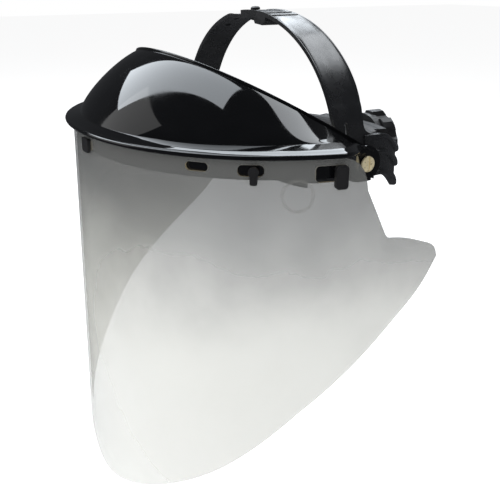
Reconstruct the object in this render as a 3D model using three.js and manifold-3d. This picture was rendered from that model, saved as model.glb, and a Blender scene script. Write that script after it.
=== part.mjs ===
// Browguard face shield: a glossy visor crown with a clear-grey window, hinged at the temples
// to a suspension headgear with an overhead strap and a ratchet-adjusted rear band.
// Units are millimetres. +Z is up, the shield faces -Y, and +X is the wearer's left.
// The origin is the middle of the tilt axis, which runs along X through both pivot screws.

import * as THREE from 'three';
import { mergeVertices } from 'three/addons/utils/BufferGeometryUtils.js';
import Module from 'manifold-3d';

const wasm = await Module();
wasm.setup();

// ---------------------------------------------------------------- driving dimensions

const GAP = 0.3;                     // clearance kept between neighbouring pieces
const DEG = Math.PI / 180;
const OVERCUT = 7;                   // how far a cutter runs past the wall it cuts
const STEPS = { oval: 160, arch: 96, corner: 20, nape: 30 };        // points along each guide curve

// Ovals in plan are superellipses: half width, reach forward from their centre, and exponent.
// Crown: rear rim arch, foot of the dome, brim lip and the skirt behind the window.
const SHELL = 2.6;                   // wall thickness of the crown
const RIM = { halfWidth: 101.7, endY: 4.9, endZ: 5.6, peakY: -83.5, peakZ: 59.2, exponent: 2.24 };
const ROOT = {
  halfWidth: 119, front: 121.4, centreY: -4.9, exponent: 2.2, z: 18.7,
  corner: [118, -25], earY: -1, earZ: 10.5,          // soft corner in plan, and where it ends on the ear
};
const LIP = {
  halfWidth: 135.4, front: 126.6, centreY: -9, exponent: 2.13, topZ: 16.2, underZ: 13.5,
  corner: [131.6, -27.5], earY: -2.5,
};
const SKIRT = { bottom: 1.9, corner: [129, -28], earY: -4.5 };
const DOME_EXPONENT = 1.54;          // 1 is a cone from foot to rim, 2 a full quarter-round
const SIDE_TURN = 12 * DEG;          // where the brim leaves its oval and turns in to the ear
const BEAD = 1.3;                    // height of the rolled bead along the rear rim
const RIM_DEPTH = Math.hypot(RIM.endY - RIM.peakY, RIM.peakZ - RIM.endZ);

// Window: a flat sheet bent round an oval that widens slightly towards the bottom.
// Its outline is given for one half as (length along the top edge from the centre, Z).
const WINDOW = { halfWidth: 130.9, front: 121.5, centreY: -9, exponent: 2.13, topZ: 13.2, thickness: 1.5 };
const FLARE = { width: 0.0375, front: 0.013 };      // growth of the oval per mm of depth
const WINDOW_TOP = [
  [0, 13.2], [187.2, 13.2, 18], [188.4, -6, 1], [202.3, -35.2, 3.5], [216, -37, 8], [238.5, -45, 5], [240, -52],
];
const WINDOW_LOW = [
  [-30, -214.4], [0, -221.4], [30, -214.4], [63.5, -199.4], [95.8, -180.2], [120.4, -161], [150.5, -133.4],
];
const WINDOW_TIP = [[150.5, -133.4], [229, -69.4, 14], [240, -52]];
const WINDOW_SLOTS = [
  { s: 0, z: 6.2, length: 8, width: 6, corner: 0.8 },
  { s: 94.5, z: 8, length: 13, width: 4.8, corner: 2.3 },
  { s: 124, z: 7.3, length: 14, width: 6, corner: 2.6 },
  { s: 167, z: 4.9, length: 18, width: 8.6, corner: 2.2 },
];
const SKIRT_INSET = WINDOW.thickness + 0.4;         // skirt's outer face behind the window's outer face

// Fittings that hold the window to the skirt: boss, hanging tab, shaft and collar behind the skirt.
const FRONT_STUD = {
  s: 0, z: 6.2, shaft: 2.4, hole: 2.7, collar: 4.2, boss: 2.4, bossDepth: 2.2,
  tabWidth: 10, tabTop: 4.2, tabDrop: 4.2, tabDepth: 1.8, tabCorner: 1.2,
};
const LOCK_BUTTON = {
  s: 125.6, z: 7, shaft: 2.2, hole: 2.5, collar: 3.8, boss: 2.9, bossDepth: 3,
  tabWidth: 4, tabTop: 0.8, tabDrop: 7, tabDepth: 1.8, tabCorner: 1,
};
const SIDE_LEVER = {
  s: 171.5, z: 5.6, shaft: 2.3, hole: 2.6, collar: 3.3, boss: 3, bossDepth: 3.4,
  tabWidth: 7, tabTop: 3.8, tabDrop: 8.8, tabDepth: 2.8, tabCorner: 1.8,
};
const FITTING = { standOff: 0.4, collarDepth: 1.6 };               // shared by all five fittings
const FITTINGS = [FRONT_STUD, ...[LOCK_BUTTON, SIDE_LEVER].flatMap((f) => [f, { ...f, s: -f.s }])];

// Tilt pivot stack, as X positions outwards from the head.
const STACK = {
  nut: [87.2, 89.7], spring: [90, 91.1], headband: [91.4, 93.6], plate: [93.9, 96.1],
  washer: [96.4, 99], ear: [99.3, 102.3], head: [102.6, 105],
};
const SCREW = { shank: 2.5, hole: 2.8, head: 4.6 };
const EAR_RADIUS = 10.5;
const EAR_FACE = STACK.ear[1] - 0.1; // where the shell runs into the ear

// Overhead strap: one arch from temple to temple, made of two overlapping halves.
const ARCH = { halfWidth: 95, height: 79.7, exponent: 2.03, thickness: 2.2 };
const STRAP = { width: 25, centreY: -5.7, lean: 3.5 };          // the apex leans forward of the foot
const PLATE_BOTTOM = -12.5;
const SLIT = { y: -8.6, z: 16, width: 2.2, height: 14 };          // lightening slit in the temple plate
const OVERLAP = { left: 13, right: 18 };            // how far each half runs past the apex
const CATCH = { from: 1, to: 17, depth: 3.2, inset: 0.8 };     // block under the end of the right half
const STRAP_RIBS = { x: [16, 23], width: 1.4, height: 0.7 };    // low ridges across the top of the left half
const STRAP_HOLES = { count: 4, pitch: 13, pinX: -8, radius: 2.1 };

// Rear band: three arcs in plan, with raised rails along it, dropping towards the nape.
const BAND = { sideX: 95, cornerRadius: 38, cornerY: 4, rearRadius: 103.7, thickness: 2.2, height: 25, topZ: 14.9 };
const BAND_DROP = { from: 14, to: 58, depth: 16.4 };
const RAIL = { places: [0.06, 0.565, 0.94], halfWidth: 0.065, height: 2, from: 6, full: 18 };

// Ratchet at the nape: two curved racks, one over and one under a pinion. The radii are
// measured from the centre of the rear band's nape arc.
const NAPE_Z = -14;
const RACK = { inner: 99.6, outer: 102.2, tail: -18.7 * DEG, toothed: 15.3 * DEG, end: 34 * DEG, back: 12.2 };
const GEAR = {
  teeth: 10, pitch: 6.4, tip: 7.35, root: 5, pressure: 25 * DEG, slack: 0.32, shaft: 3, journal: 2.5,
};
const HOUSING = { halfAngle: 19.8 * DEG, halfHeight: 16.2, wall: 2.4, outer: 106 };
const BASE = { inner: 95.5, outer: 99.1 };
const HOUSING_SCREW = { x: 22, head: 2.6, shank: 1.25, hole: 1.6, seatY: 66.3, tipY: 73.6 };
const KNOB = {
  radius: 22.4, valley: 19.2, lobes: 8, collar: 20.6, from: 78.2, gripFrom: 83, to: 95, recess: 14,
  recessEnd: 82.4, shaftEnd: 88, screwSeat: 91.6,
};

// Front headband and soft pads.
const HEADBAND = {
  halfWidth: 92.5, front: 94, centreY: 0, exponent: 2.2, thickness: 2.2,
  height: 26, frontZ: 16, templeHeight: 15, templeZ: -3.5,
};
const SWEATBAND = { thickness: 4.5, height: 34, templeHeight: 22, reach: 118 };
const NAPE_PAD = { inner: 89.3, outer: 95.2, halfAngle: 25 * DEG, halfHeight: 16.5 };

// ---------------------------------------------------------------- materials

const plastic = (color, roughness) => new THREE.MeshStandardMaterial({ color, roughness, metalness: 0 });
const metal = (color, roughness) => new THREE.MeshStandardMaterial({ color, roughness, metalness: 1 });
const GLOSS_BLACK = plastic(0x0b0c0f, 0.08);
const SATIN_BLACK = plastic(0x17181b, 0.35);
const SMOKE_CLEAR = new THREE.MeshStandardMaterial({
  color: 0xb9bcb6, roughness: 0.08, metalness: 0, transparent: true, opacity: 0.6,
});
const BRASS = metal(0xd8c88e, 0.3);
const STEEL = metal(0x9a9da1, 0.35);
const NYLON = plastic(0x2b2b2d, 0.6);
const FOAM = plastic(0x26272a, 0.95);
const LEATHERETTE = plastic(0x1d1c1c, 0.75);

// ---------------------------------------------------------------- solids

/** Signed volume of an indexed geometry, positive when its faces point out. */
function signedVolume(geometry) {
  const position = geometry.getAttribute('position');
  const index = geometry.getIndex().array;
  const corners = [new THREE.Vector3(), new THREE.Vector3(), new THREE.Vector3()];
  let volume = 0;
  for (let i = 0; i < index.length; i += 3) {
    const [a, b, c] = corners.map((corner, k) => corner.fromBufferAttribute(position, index[i + k]));
    volume += a.dot(b.cross(c)) / 6;
  }
  return volume;
}

/** The same surface with every face turned over. */
function flipped(geometry) {
  const index = Array.from(geometry.getIndex().array);
  for (let i = 0; i < index.length; i += 3) {
    [index[i + 1], index[i + 2]] = [index[i + 2], index[i + 1]];
  }
  geometry.setIndex(index);
  return geometry;
}

/** Outward-facing geometry with merged positions and no collapsed faces. */
function clean(geometry) {
  const bare = geometry.clone();
  bare.deleteAttribute('normal');
  bare.deleteAttribute('uv');
  const merged = mergeVertices(bare, 1e-4);
  const old = merged.getIndex().array;
  const index = [];
  for (let i = 0; i < old.length; i += 3) {
    const [a, b, c] = old.slice(i, i + 3);
    if (a !== b && b !== c && c !== a) index.push(a, b, c);
  }
  merged.setIndex(index);
  return signedVolume(merged) < 0 ? flipped(merged) : merged;
}

function toSolid(geometry) {
  const merged = clean(geometry);
  return new wasm.Manifold(new wasm.Mesh({
    numProp: 3,
    vertProperties: new Float32Array(merged.getAttribute('position').array),
    triVerts: new Uint32Array(merged.getIndex().array),
  }));
}

function toGeometry(solid) {
  const mesh = solid.getMesh();
  const geometry = new THREE.BufferGeometry();
  geometry.setAttribute('position', new THREE.BufferAttribute(mesh.vertProperties, 3));
  geometry.setIndex(new THREE.BufferAttribute(mesh.triVerts, 1));
  return geometry;
}

function joined(first, ...others) {
  return toGeometry(others.reduce((solid, other) => solid.add(toSolid(other)), toSolid(first)));
}

function carved(first, ...others) {
  return toGeometry(others.reduce((solid, other) => solid.subtract(toSolid(other)), toSolid(first)));
}

function overlapOf(first, second) {
  return toGeometry(toSolid(first).intersect(toSolid(second)));
}

/** The mirror image on the other side of the plane X = 0. */
function mirrored(geometry) {
  return flipped(clean(geometry).scale(-1, 1, 1));
}

/** Closed solid between two matching grids of points: sections along the part, points across it. */
function loft(outer, inner) {
  const [rows, columns] = [outer.length, outer[0].length];
  const at = (skin, i, j) => (skin * rows + i) * columns + j;
  const index = [];
  const quad = (a, b, c, d) => index.push(a, b, c, a, c, d);
  for (let i = 0; i + 1 < rows; i += 1) {
    for (let j = 0; j + 1 < columns; j += 1) {
      quad(at(0, i, j), at(0, i + 1, j), at(0, i + 1, j + 1), at(0, i, j + 1));
      quad(at(1, i, j), at(1, i, j + 1), at(1, i + 1, j + 1), at(1, i + 1, j));
    }
    const end = columns - 1;
    quad(at(0, i, 0), at(1, i, 0), at(1, i + 1, 0), at(0, i + 1, 0));
    quad(at(0, i, end), at(0, i + 1, end), at(1, i + 1, end), at(1, i, end));
  }
  for (let j = 0; j + 1 < columns; j += 1) {
    const end = rows - 1;
    quad(at(0, 0, j), at(0, 0, j + 1), at(1, 0, j + 1), at(1, 0, j));
    quad(at(0, end, j), at(1, end, j), at(1, end, j + 1), at(0, end, j + 1));
  }
  const geometry = new THREE.BufferGeometry().setFromPoints([...outer.flat(), ...inner.flat()]);
  geometry.setIndex(index);
  return clean(geometry);
}

/**
 * Curved sheet. edges(s) gives its two edges at station s, fractions are the points between them,
 * skin(s, fraction) gives the offsets of its two faces, and place(s, v, offset) puts a point in space.
 */
function sheet({ stations, fractions, edges, place, skin }) {
  const face = (side) => stations.map((s) => {
    const [low, high] = edges(s);
    return fractions.map((f) => place(s, mix(low, high, f), skin(s, f)[side]));
  });
  return loft(face(0), face(1));
}

/** Round solid about the X axis from (radius, x) pairs that start and end on the axis or close up. */
function turnedX(profile, segments = 16) {
  const points = profile.map(([radius, x]) => new THREE.Vector2(radius, x));
  return new THREE.LatheGeometry(points, segments).rotateZ(-Math.PI / 2);
}

const discX = (radius, from, to) => turnedX([[0, from], [radius, from], [radius, to], [0, to]]);

/** Ring about the X axis with a bore, between two X positions. */
function ringX(radius, bore, from, to) {
  return turnedX([[bore, from], [radius, from], [radius, to], [bore, to], [bore, from]]);
}

/** Prism of a shape drawn in (Y, Z), reaching between two X positions. */
function prismX(shape, from, to) {
  const prism = new THREE.ExtrudeGeometry(shape, { depth: to - from, bevelEnabled: false, curveSegments: 12 });
  const turn = new THREE.Matrix4().makeBasis(
    new THREE.Vector3(0, 1, 0), new THREE.Vector3(0, 0, 1), new THREE.Vector3(1, 0, 0),
  );
  return prism.applyMatrix4(turn).translate(from, 0, 0);
}

/** Prism of a shape drawn in (X, Z), reaching between two Y positions. */
function prismY(shape, from, to) {
  const prism = new THREE.ExtrudeGeometry(shape, { depth: to - from, bevelEnabled: false, curveSegments: 8 });
  return prism.rotateX(Math.PI / 2).translate(0, to, 0);
}

/** Rectangle with rounded corners, centred on the origin. */
function roundedPlate(width, height, corner) {
  const [x, y] = [width / 2 - corner, height / 2 - corner];
  const shape = new THREE.Shape();
  shape.absarc(x, -y, corner, -Math.PI / 2, 0, false);
  shape.absarc(x, y, corner, 0, Math.PI / 2, false);
  shape.absarc(-x, y, corner, Math.PI / 2, Math.PI, false);
  shape.absarc(-x, -y, corner, Math.PI, Math.PI * 1.5, false);
  return shape;
}

// ---------------------------------------------------------------- curves

const mix = (a, b, f) => a + (b - a) * f;
const range = (from, to, count) => Array.from({ length: count + 1 }, (_, i) => mix(from, to, i / count));
const power = (value, p) => Math.sign(value) * Math.abs(value) ** p;

function smooth(value, from, to) {
  const f = THREE.MathUtils.clamp((value - from) / (to - from), 0, 1);
  return f * f * (3 - 2 * f);
}

function arcPoint(x, y, radius, angle) {
  return new THREE.Vector2(x + radius * Math.cos(angle), y + radius * Math.sin(angle));
}

/** A plane curve measured by its own length and continued straight past both ends. */
class Track {
  constructor(points) {
    this.points = points;
    this.lengths = [0];
    for (let i = 1; i < points.length; i += 1) {
      this.lengths.push(this.lengths[i - 1] + points[i].distanceTo(points[i - 1]));
    }
    this.length = this.lengths[points.length - 1];
  }

  /** Point at length s, moved by offset towards the outside of the curve. */
  at(s, offset = 0) {
    let i = 1;
    while (i < this.points.length - 1 && this.lengths[i] < s) i += 1;
    const [a, b] = [this.points[i - 1], this.points[i]];
    const along = b.clone().sub(a).divideScalar(this.lengths[i] - this.lengths[i - 1]);
    const outwards = new THREE.Vector2(along.y, -along.x);
    return a.clone().addScaledVector(along, s - this.lengths[i - 1]).addScaledVector(outwards, offset);
  }
}

/** Point of an oval in plan, from its front centre (angle 0) round to its side (90 degrees). */
function ovalPoint(oval, angle) {
  return new THREE.Vector2(
    oval.halfWidth * power(Math.sin(angle), 2 / oval.exponent),
    oval.centreY - oval.front * power(Math.cos(angle), 2 / oval.exponent),
  );
}

const quarterTrack = (oval) => new Track(
  range(0, Math.PI / 2, STEPS.oval).map((angle) => ovalPoint(oval, angle)),
);
const windowTrack = quarterTrack(WINDOW);
const headbandTrack = quarterTrack(HEADBAND);

const archTrack = new Track([
  new THREE.Vector2(ARCH.halfWidth, PLATE_BOTTOM),
  ...range(0, Math.PI, STEPS.arch).map((angle) => new THREE.Vector2(
    ARCH.halfWidth * power(Math.cos(angle), 2 / ARCH.exponent),
    ARCH.height * power(Math.sin(angle), 2 / ARCH.exponent),
  )),
]);
const ARCH_APEX = (archTrack.length - PLATE_BOTTOM) / 2;

// The rear band's corner arc and nape arc meet smoothly where their centres line up.
const CORNER_X = BAND.sideX - BAND.cornerRadius;
const REAR_Y = BAND.cornerY - Math.sqrt((BAND.rearRadius - BAND.cornerRadius) ** 2 - CORNER_X ** 2);
const COVER_FACE_Y = HOUSING.outer + REAR_Y;
const CORNER_END = Math.atan2(BAND.cornerY - REAR_Y, CORNER_X);
const bandTrack = new Track([
  new THREE.Vector2(BAND.sideX, 0),
  ...range(0, CORNER_END, STEPS.corner).map((a) => arcPoint(CORNER_X, BAND.cornerY, BAND.cornerRadius, a)),
  ...range(CORNER_END, Math.PI / 2, STEPS.nape).slice(1).map((a) => arcPoint(0, REAR_Y, BAND.rearRadius, a)),
]);

/** Point of the window surface: s along the top edge from the centre, height z, offset outwards. */
function windowPoint(s, z, offset) {
  const p = windowTrack.at(Math.abs(s), offset);
  const depth = WINDOW.topZ - z;
  const x = p.x * (1 + (FLARE.width * depth) / WINDOW.halfWidth);
  const ahead = Math.min(p.y - WINDOW.centreY, 0) * ((FLARE.front * depth) / WINDOW.front);
  return new THREE.Vector3(Math.sign(s || 1) * x, p.y + ahead, z);
}

/** Stands a solid drawn about the origin, outwards along its own Z, on the window surface. */
function onWindow(geometry, { s, z }, offset = 0) {
  const along = windowPoint(s + 0.5, z, 0).sub(windowPoint(s - 0.5, z, 0)).normalize();
  const up = new THREE.Vector3(0, 0, 1);
  const out = along.clone().cross(up).normalize();
  const frame = new THREE.Matrix4().makeBasis(along, up, out);
  frame.setPosition(windowPoint(s, z, 0).addScaledVector(out, offset));
  return geometry.applyMatrix4(frame);
}

/** Stands a solid drawn about the origin, outwards along its own Z, on the strap's arch. */
function onArch(geometry, s) {
  const [here, ahead] = [archTrack.at(s), archTrack.at(s + 0.5)];
  const along = new THREE.Vector3(ahead.x - here.x, 0, ahead.y - here.y).normalize();
  const across = new THREE.Vector3(0, 1, 0);
  const frame = new THREE.Matrix4().makeBasis(across, along, across.clone().cross(along));
  frame.setPosition(here.x, STRAP.centreY - STRAP.lean, here.y);
  return geometry.applyMatrix4(frame);
}

// ---------------------------------------------------------------- crown

/** Quadratic curve from a to c, pulled towards b. */
function bezier(a, b, c, f) {
  const point = a.clone().multiplyScalar((1 - f) ** 2);
  return point.addScaledVector(b, 2 * f * (1 - f)).addScaledVector(c, f * f);
}

/** Point of a crown oval, measured from its side: 0 at the wearer's left, 90 degrees at the front. */
function ringPoint(oval, side, z, inset) {
  const p = ovalPoint({ ...oval, halfWidth: oval.halfWidth - inset, front: oval.front - inset }, Math.PI / 2 - side);
  return new THREE.Vector3(p.x, p.y, z);
}

/** Point of an oval that, near each side, turns in round a soft corner to end on the ear. */
function brimPoint(oval, angle, z, inset, corner, ear) {
  const side = Math.min(angle, Math.PI - angle);
  const point = side >= SIDE_TURN
    ? ringPoint(oval, side, z, inset)
    : bezier(ear, corner, ringPoint(oval, SIDE_TURN, z, inset), side / SIDE_TURN);
  point.x *= angle > Math.PI / 2 ? -1 : 1;
  return point;
}

/** Point of the rear rim arch, or of a slightly smaller arch in the same plane. */
function rimPoint(angle, inset) {
  const rise = power(Math.sin(angle), 2 / RIM.exponent) * (1 - inset / RIM_DEPTH);
  return new THREE.Vector3(
    (RIM.halfWidth - inset) * power(Math.cos(angle), 2 / RIM.exponent),
    mix(RIM.endY, RIM.peakY, rise),
    mix(RIM.endZ, RIM.peakZ, rise),
  );
}

/** Outer and inner outline of the crown's section at an angle round the brow. */
function crownSection(angle) {
  const at = (x, y, z) => new THREE.Vector3(x, y, z);
  const root = (inset) => {
    const z = ROOT.z - inset * 0.7;
    const corner = at(ROOT.corner[0] - inset, ROOT.corner[1], z);
    return brimPoint(ROOT, angle, z, inset, corner, at(EAR_FACE - inset, ROOT.earY, ROOT.earZ));
  };
  const lip = (inset, z, earZ) => {
    const corner = at(LIP.corner[0] - inset, LIP.corner[1], z);
    return brimPoint(LIP, angle, z, inset, corner, at(EAR_FACE, LIP.earY, earZ));
  };
  const skirt = (inset, z, earZ) => {
    const corner = at(SKIRT.corner[0] - inset, SKIRT.corner[1], z);
    return brimPoint(WINDOW, angle, z, SKIRT_INSET + inset, corner, at(EAR_FACE - inset, SKIRT.earY, earZ));
  };
  const dome = (inset, f) => {
    const [top, foot] = [rimPoint(angle, inset), root(inset)];
    const out = Math.sin((f * Math.PI) / 2) ** DOME_EXPONENT;
    const down = 1 - Math.cos((f * Math.PI) / 2) ** DOME_EXPONENT;
    return at(mix(top.x, foot.x, out), mix(top.y, foot.y, out), mix(top.z, foot.z, down));
  };
  const raised = (point) => point.add(at(point.x, point.y, 0).setLength(BEAD * 0.6)).add(at(0, 0, BEAD * 0.8));
  const domeSteps = range(0.22, 1, 4);
  const outer = [
    dome(0, 0), raised(dome(0, 0)), raised(dome(0, 0.07)), dome(0, 0.09), ...domeSteps.map((f) => dome(0, f)),
    lip(3.4, LIP.topZ + 0.6, 9.6), lip(0.8, LIP.topZ, 9.2), lip(0, LIP.topZ - 1, 8.8),
    lip(0.4, LIP.underZ, 8), skirt(0, LIP.underZ, 7.5), skirt(0, SKIRT.bottom, 1),
  ];
  const inner = [
    dome(SHELL, 0), dome(SHELL, 0.03), dome(SHELL, 0.06), dome(SHELL, 0.09),
    ...domeSteps.map((f) => dome(SHELL, f)),
    skirt(SHELL + 3, 13.8, 9.6), skirt(SHELL + 0.6, 12.8, 9.2), skirt(SHELL, 12.2, 8.8),
    skirt(SHELL, 11.4, 8), skirt(SHELL, 10.6, 7.5), skirt(SHELL, SKIRT.bottom, 1),
  ];
  return [outer, inner];
}

function crownShell() {
  const stations = [
    ...range(0, SIDE_TURN, 4),
    ...range(SIDE_TURN, Math.PI - SIDE_TURN, 28).slice(1, -1),
    ...range(Math.PI - SIDE_TURN, Math.PI, 4),
  ];
  const sections = stations.map(crownSection);
  const shell = loft(sections.map((s) => s[0]), sections.map((s) => s[1]));
  const ear = discX(EAR_RADIUS, ...STACK.ear);
  const bore = discX(SCREW.hole, STACK.ear[0] - OVERCUT, STACK.ear[1] + OVERCUT);
  const shaftHoles = FITTINGS.map((fitting) => onWindow(
    new THREE.CylinderGeometry(fitting.hole, fitting.hole, 9, 14).rotateX(Math.PI / 2), fitting, -3,
  ));
  return carved(joined(shell, ear, mirrored(ear)), bore, mirrored(bore), ...shaftHoles);
}

// ---------------------------------------------------------------- window and what holds it

/** Line through corner points, each corner rounded to its own radius. */
function roundedLine(corners) {
  const line = new THREE.Path().moveTo(corners[0][0], corners[0][1]);
  for (let i = 1; i + 1 < corners.length; i += 1) {
    const [before, here, after] = [i - 1, i, i + 1].map((k) => new THREE.Vector2(...corners[k]));
    const start = here.clone().add(before.sub(here).setLength(corners[i][2]));
    const end = here.clone().add(after.sub(here).setLength(corners[i][2]));
    line.lineTo(start.x, start.y);
    line.quadraticCurveTo(here.x, here.y, end.x, end.y);
  }
  line.lineTo(...corners[corners.length - 1].slice(0, 2));
  return line.getPoints(2);
}

/** Height of a line of points at station s. */
function heightAt(points, s) {
  const next = points.findIndex((p) => p.x >= s);
  if (next <= 0) return points[Math.max(next, 0)].y;
  const [a, b] = [points[next - 1], points[next]];
  return mix(a.y, b.y, (s - a.x) / (b.x - a.x));
}

function windowSheet() {
  const top = roundedLine(WINDOW_TOP);
  const dip = new THREE.SplineCurve(WINDOW_LOW.map((p) => new THREE.Vector2(...p))).getPoints(48);
  const low = [...dip.filter((p) => p.x >= 0), ...roundedLine(WINDOW_TIP).slice(1)];
  const tip = top[top.length - 1].x;
  const straightEnd = windowTrack.length * 0.86;
  const near = [...top, ...low].map((p) => p.x).filter((s) => s > straightEnd);
  const even = range(0, straightEnd, 15);
  const half = [...even, ...near, tip].sort((a, b) => a - b).filter((s, i, all) => i === 0 || s - all[i - 1] > 0.3);
  const stations = [...half.slice(1).reverse().map((s) => -s), ...half];
  const flat = sheet({
    stations,
    fractions: [0, 1],
    edges: (s) => {
      const [lower, upper] = [heightAt(low, Math.abs(s)), heightAt(top, Math.abs(s))];
      return upper - lower > 0.6 ? [lower, upper] : [upper - 0.6, upper];
    },
    place: windowPoint,
    skin: () => [0, -WINDOW.thickness],
  });
  const slots = [...WINDOW_SLOTS, ...WINDOW_SLOTS.slice(1).map((slot) => ({ ...slot, s: -slot.s }))];
  const cutters = slots.map((slot) => {
    const shape = roundedPlate(slot.length, slot.width, slot.corner);
    const cutter = new THREE.ExtrudeGeometry(shape, { depth: 6, bevelEnabled: false, curveSegments: 2 });
    return onWindow(cutter.translate(0, 0, -3), slot, -WINDOW.thickness / 2);
  });
  return carved(flat, ...cutters);
}

/** Boss with a hanging tab, a shaft through the window and skirt, and a collar behind the skirt. */
function fittingBody(fitting) {
  const disc = (radius, from, to) => new THREE.CylinderGeometry(radius, radius, to - from, 14)
    .rotateX(Math.PI / 2).translate(0, 0, (from + to) / 2);
  const behind = -(SKIRT_INSET + SHELL + 4 * GAP);
  const tab = roundedPlate(fitting.tabWidth, fitting.tabTop + fitting.tabDrop, fitting.tabCorner);
  const head = new THREE.ExtrudeGeometry(tab, {
    depth: fitting.tabDepth, bevelEnabled: false, curveSegments: 3,
  }).translate(0, (fitting.tabTop - fitting.tabDrop) / 2, FITTING.standOff);
  return joined(
    disc(fitting.shaft, behind - FITTING.collarDepth / 2, FITTING.standOff * 1.5),
    head,
    disc(fitting.boss, FITTING.standOff, fitting.bossDepth),
    disc(fitting.collar, behind - FITTING.collarDepth, behind),
  );
}

// ---------------------------------------------------------------- tilt pivots

function pivotScrew() {
  const [under, top] = STACK.head;
  const tail = STACK.nut[0] - 0.6;
  const screw = turnedX([
    [0, top + 0.4], [2.4, top + 0.2], [4.1, top - 0.4], [SCREW.head, top - 1.1], [SCREW.head, under],
    [SCREW.shank, under], [SCREW.shank, tail + 0.5], [SCREW.shank - 0.5, tail], [0, tail],
  ]);
  const slot = new THREE.BoxGeometry(2.4, 1.3, SCREW.head * 2 + 2).translate(top + 0.3, 0, 0);
  return carved(screw, slot);
}

function lockNut() {
  const hexagon = new THREE.Shape(range(0, 2 * Math.PI, 6).slice(1).map((angle) => arcPoint(0, 0, 5.2, angle)));
  hexagon.holes.push(new THREE.Path().absarc(0, 0, SCREW.hole, 0, Math.PI * 2));
  return clean(prismX(hexagon, ...STACK.nut));
}

function springWasher() {
  const ring = new THREE.Shape().absarc(0, 0, 5, 8 * DEG, 352 * DEG, false);
  ring.absarc(0, 0, SCREW.hole, 352 * DEG, 8 * DEG, true);
  return clean(prismX(ring, ...STACK.spring));
}

// ---------------------------------------------------------------- headgear

/** Front and back edge of the strap and temple plate at length s up the arch. */
function strapEdges(s) {
  const z = s + PLATE_BOTTOM;
  const centre = STRAP.centreY - STRAP.lean * (s / ARCH_APEX);
  const half = STRAP.width / 2 - 0.9 * (1 - smooth(s, 30, 80));
  const foot = -Math.sqrt(Math.max(PLATE_BOTTOM ** 2 - Math.min(z, 0) ** 2, 0.25));
  const front = Math.max(centre - half, foot - 5 * smooth(z, 0, 28));
  const flare = z < 21 ? 12 * (Math.min(21 - z, 8) / 8) ** 3 : 0;
  const back = z < 13 ? 9 : Math.min(centre + half - 1.6 * (1 - smooth(z, 21, 40)) + flare, 16);
  return [front, back];
}

/** Strip of the strap between two lengths up the arch, with its two faces given by skin(s). */
function strapStrip(stations, edges, skin) {
  const place = (s, y, offset) => {
    const p = archTrack.at(s, offset);
    return new THREE.Vector3(p.x, y, p.y);
  };
  return sheet({ stations, fractions: [0, 1], edges, place, skin });
}

/** One half of the suspension, moulded in one: strap half, temple plate and rear band with rails. */
function sideFrame({ overlap, drop, pinHoles, extras }) {
  const half = ARCH.thickness / 2;
  const strapEnd = ARCH_APEX + overlap;
  const strap = strapStrip([...range(0, 48, 11), ...range(48, strapEnd, 13).slice(1)], strapEdges, (s) => {
    const shift = -drop * smooth(s, ARCH_APEX - 30, ARCH_APEX - 15);
    const plateStep = 0.5 * smooth(s, 28, 32) * (1 - smooth(s, 43, 47));
    return [half + shift + plateStep, -half + shift];
  });
  const holes = pinHoles.map((past) => onArch(
    new THREE.CylinderGeometry(STRAP_HOLES.radius, STRAP_HOLES.radius, 12, 14).rotateX(Math.PI / 2),
    ARCH_APEX + past,
  ));
  const slit = prismX(roundedPlate(SLIT.width, SLIT.height, 1), ARCH.halfWidth - OVERCUT, ARCH.halfWidth + OVERCUT)
    .translate(0, SLIT.y, SLIT.z);
  const bore = discX(SCREW.hole, STACK.plate[0] - OVERCUT, STACK.plate[1] + OVERCUT);
  return carved(joined(strap, rearBand(), ...extras), bore, slit, ...holes);
}

/** Catch block under the end of the strap half that runs beneath. */
function catchBlock(drop) {
  const [top, bottom] = [-drop, -drop - ARCH.thickness / 2 - CATCH.depth];
  const edges = (s) => strapEdges(s).map((y, i) => y + [1, -1][i] * CATCH.inset);
  return strapStrip(range(ARCH_APEX + CATCH.from, ARCH_APEX + CATCH.to, 3), edges, () => [top, bottom]);
}

/** Low ridges across the top of the strap. */
function strapRibs() {
  const { x, width, height } = STRAP_RIBS;
  return x.map((place) => {
    const [from, to] = [ARCH_APEX - place - width / 2, ARCH_APEX - place + width / 2];
    return strapStrip(range(from, to, 2), strapEdges, () => [ARCH.thickness / 2 + height, 0]);
  });
}

/** Rear band: a strip with rounded rails along both edges and between, dropping to the nape. */
function rearBand() {
  const end = bandTrack.length - BAND.rearRadius * (HOUSING.halfAngle + 1 * DEG);
  const hump = (f, place) => Math.max(0, 1 - ((f - place) / RAIL.halfWidth) ** 2) ** 0.5;
  const railHeight = (f) => Math.max(...RAIL.places.map((place) => hump(f, place)));
  return sheet({
    stations: [...range(-5, 60, 11), ...range(60, end, 4).slice(1)],
    fractions: [0, 0.06, 0.125, 0.5, 0.565, 0.63, 0.875, 0.94, 1],
    edges: (s) => {
      const top = BAND.topZ - BAND_DROP.depth * smooth(s, BAND_DROP.from, BAND_DROP.to);
      return [top - BAND.height, top];
    },
    place: (s, z, offset) => {
      const p = bandTrack.at(s, offset);
      return new THREE.Vector3(p.x, p.y, z);
    },
    skin: (s, f) => {
      const rail = RAIL.height * railHeight(f) * smooth(s, RAIL.from, RAIL.full) * (1 - smooth(s, end - 12, end));
      return [BAND.thickness / 2 + rail, -BAND.thickness / 2];
    },
  });
}

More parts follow.
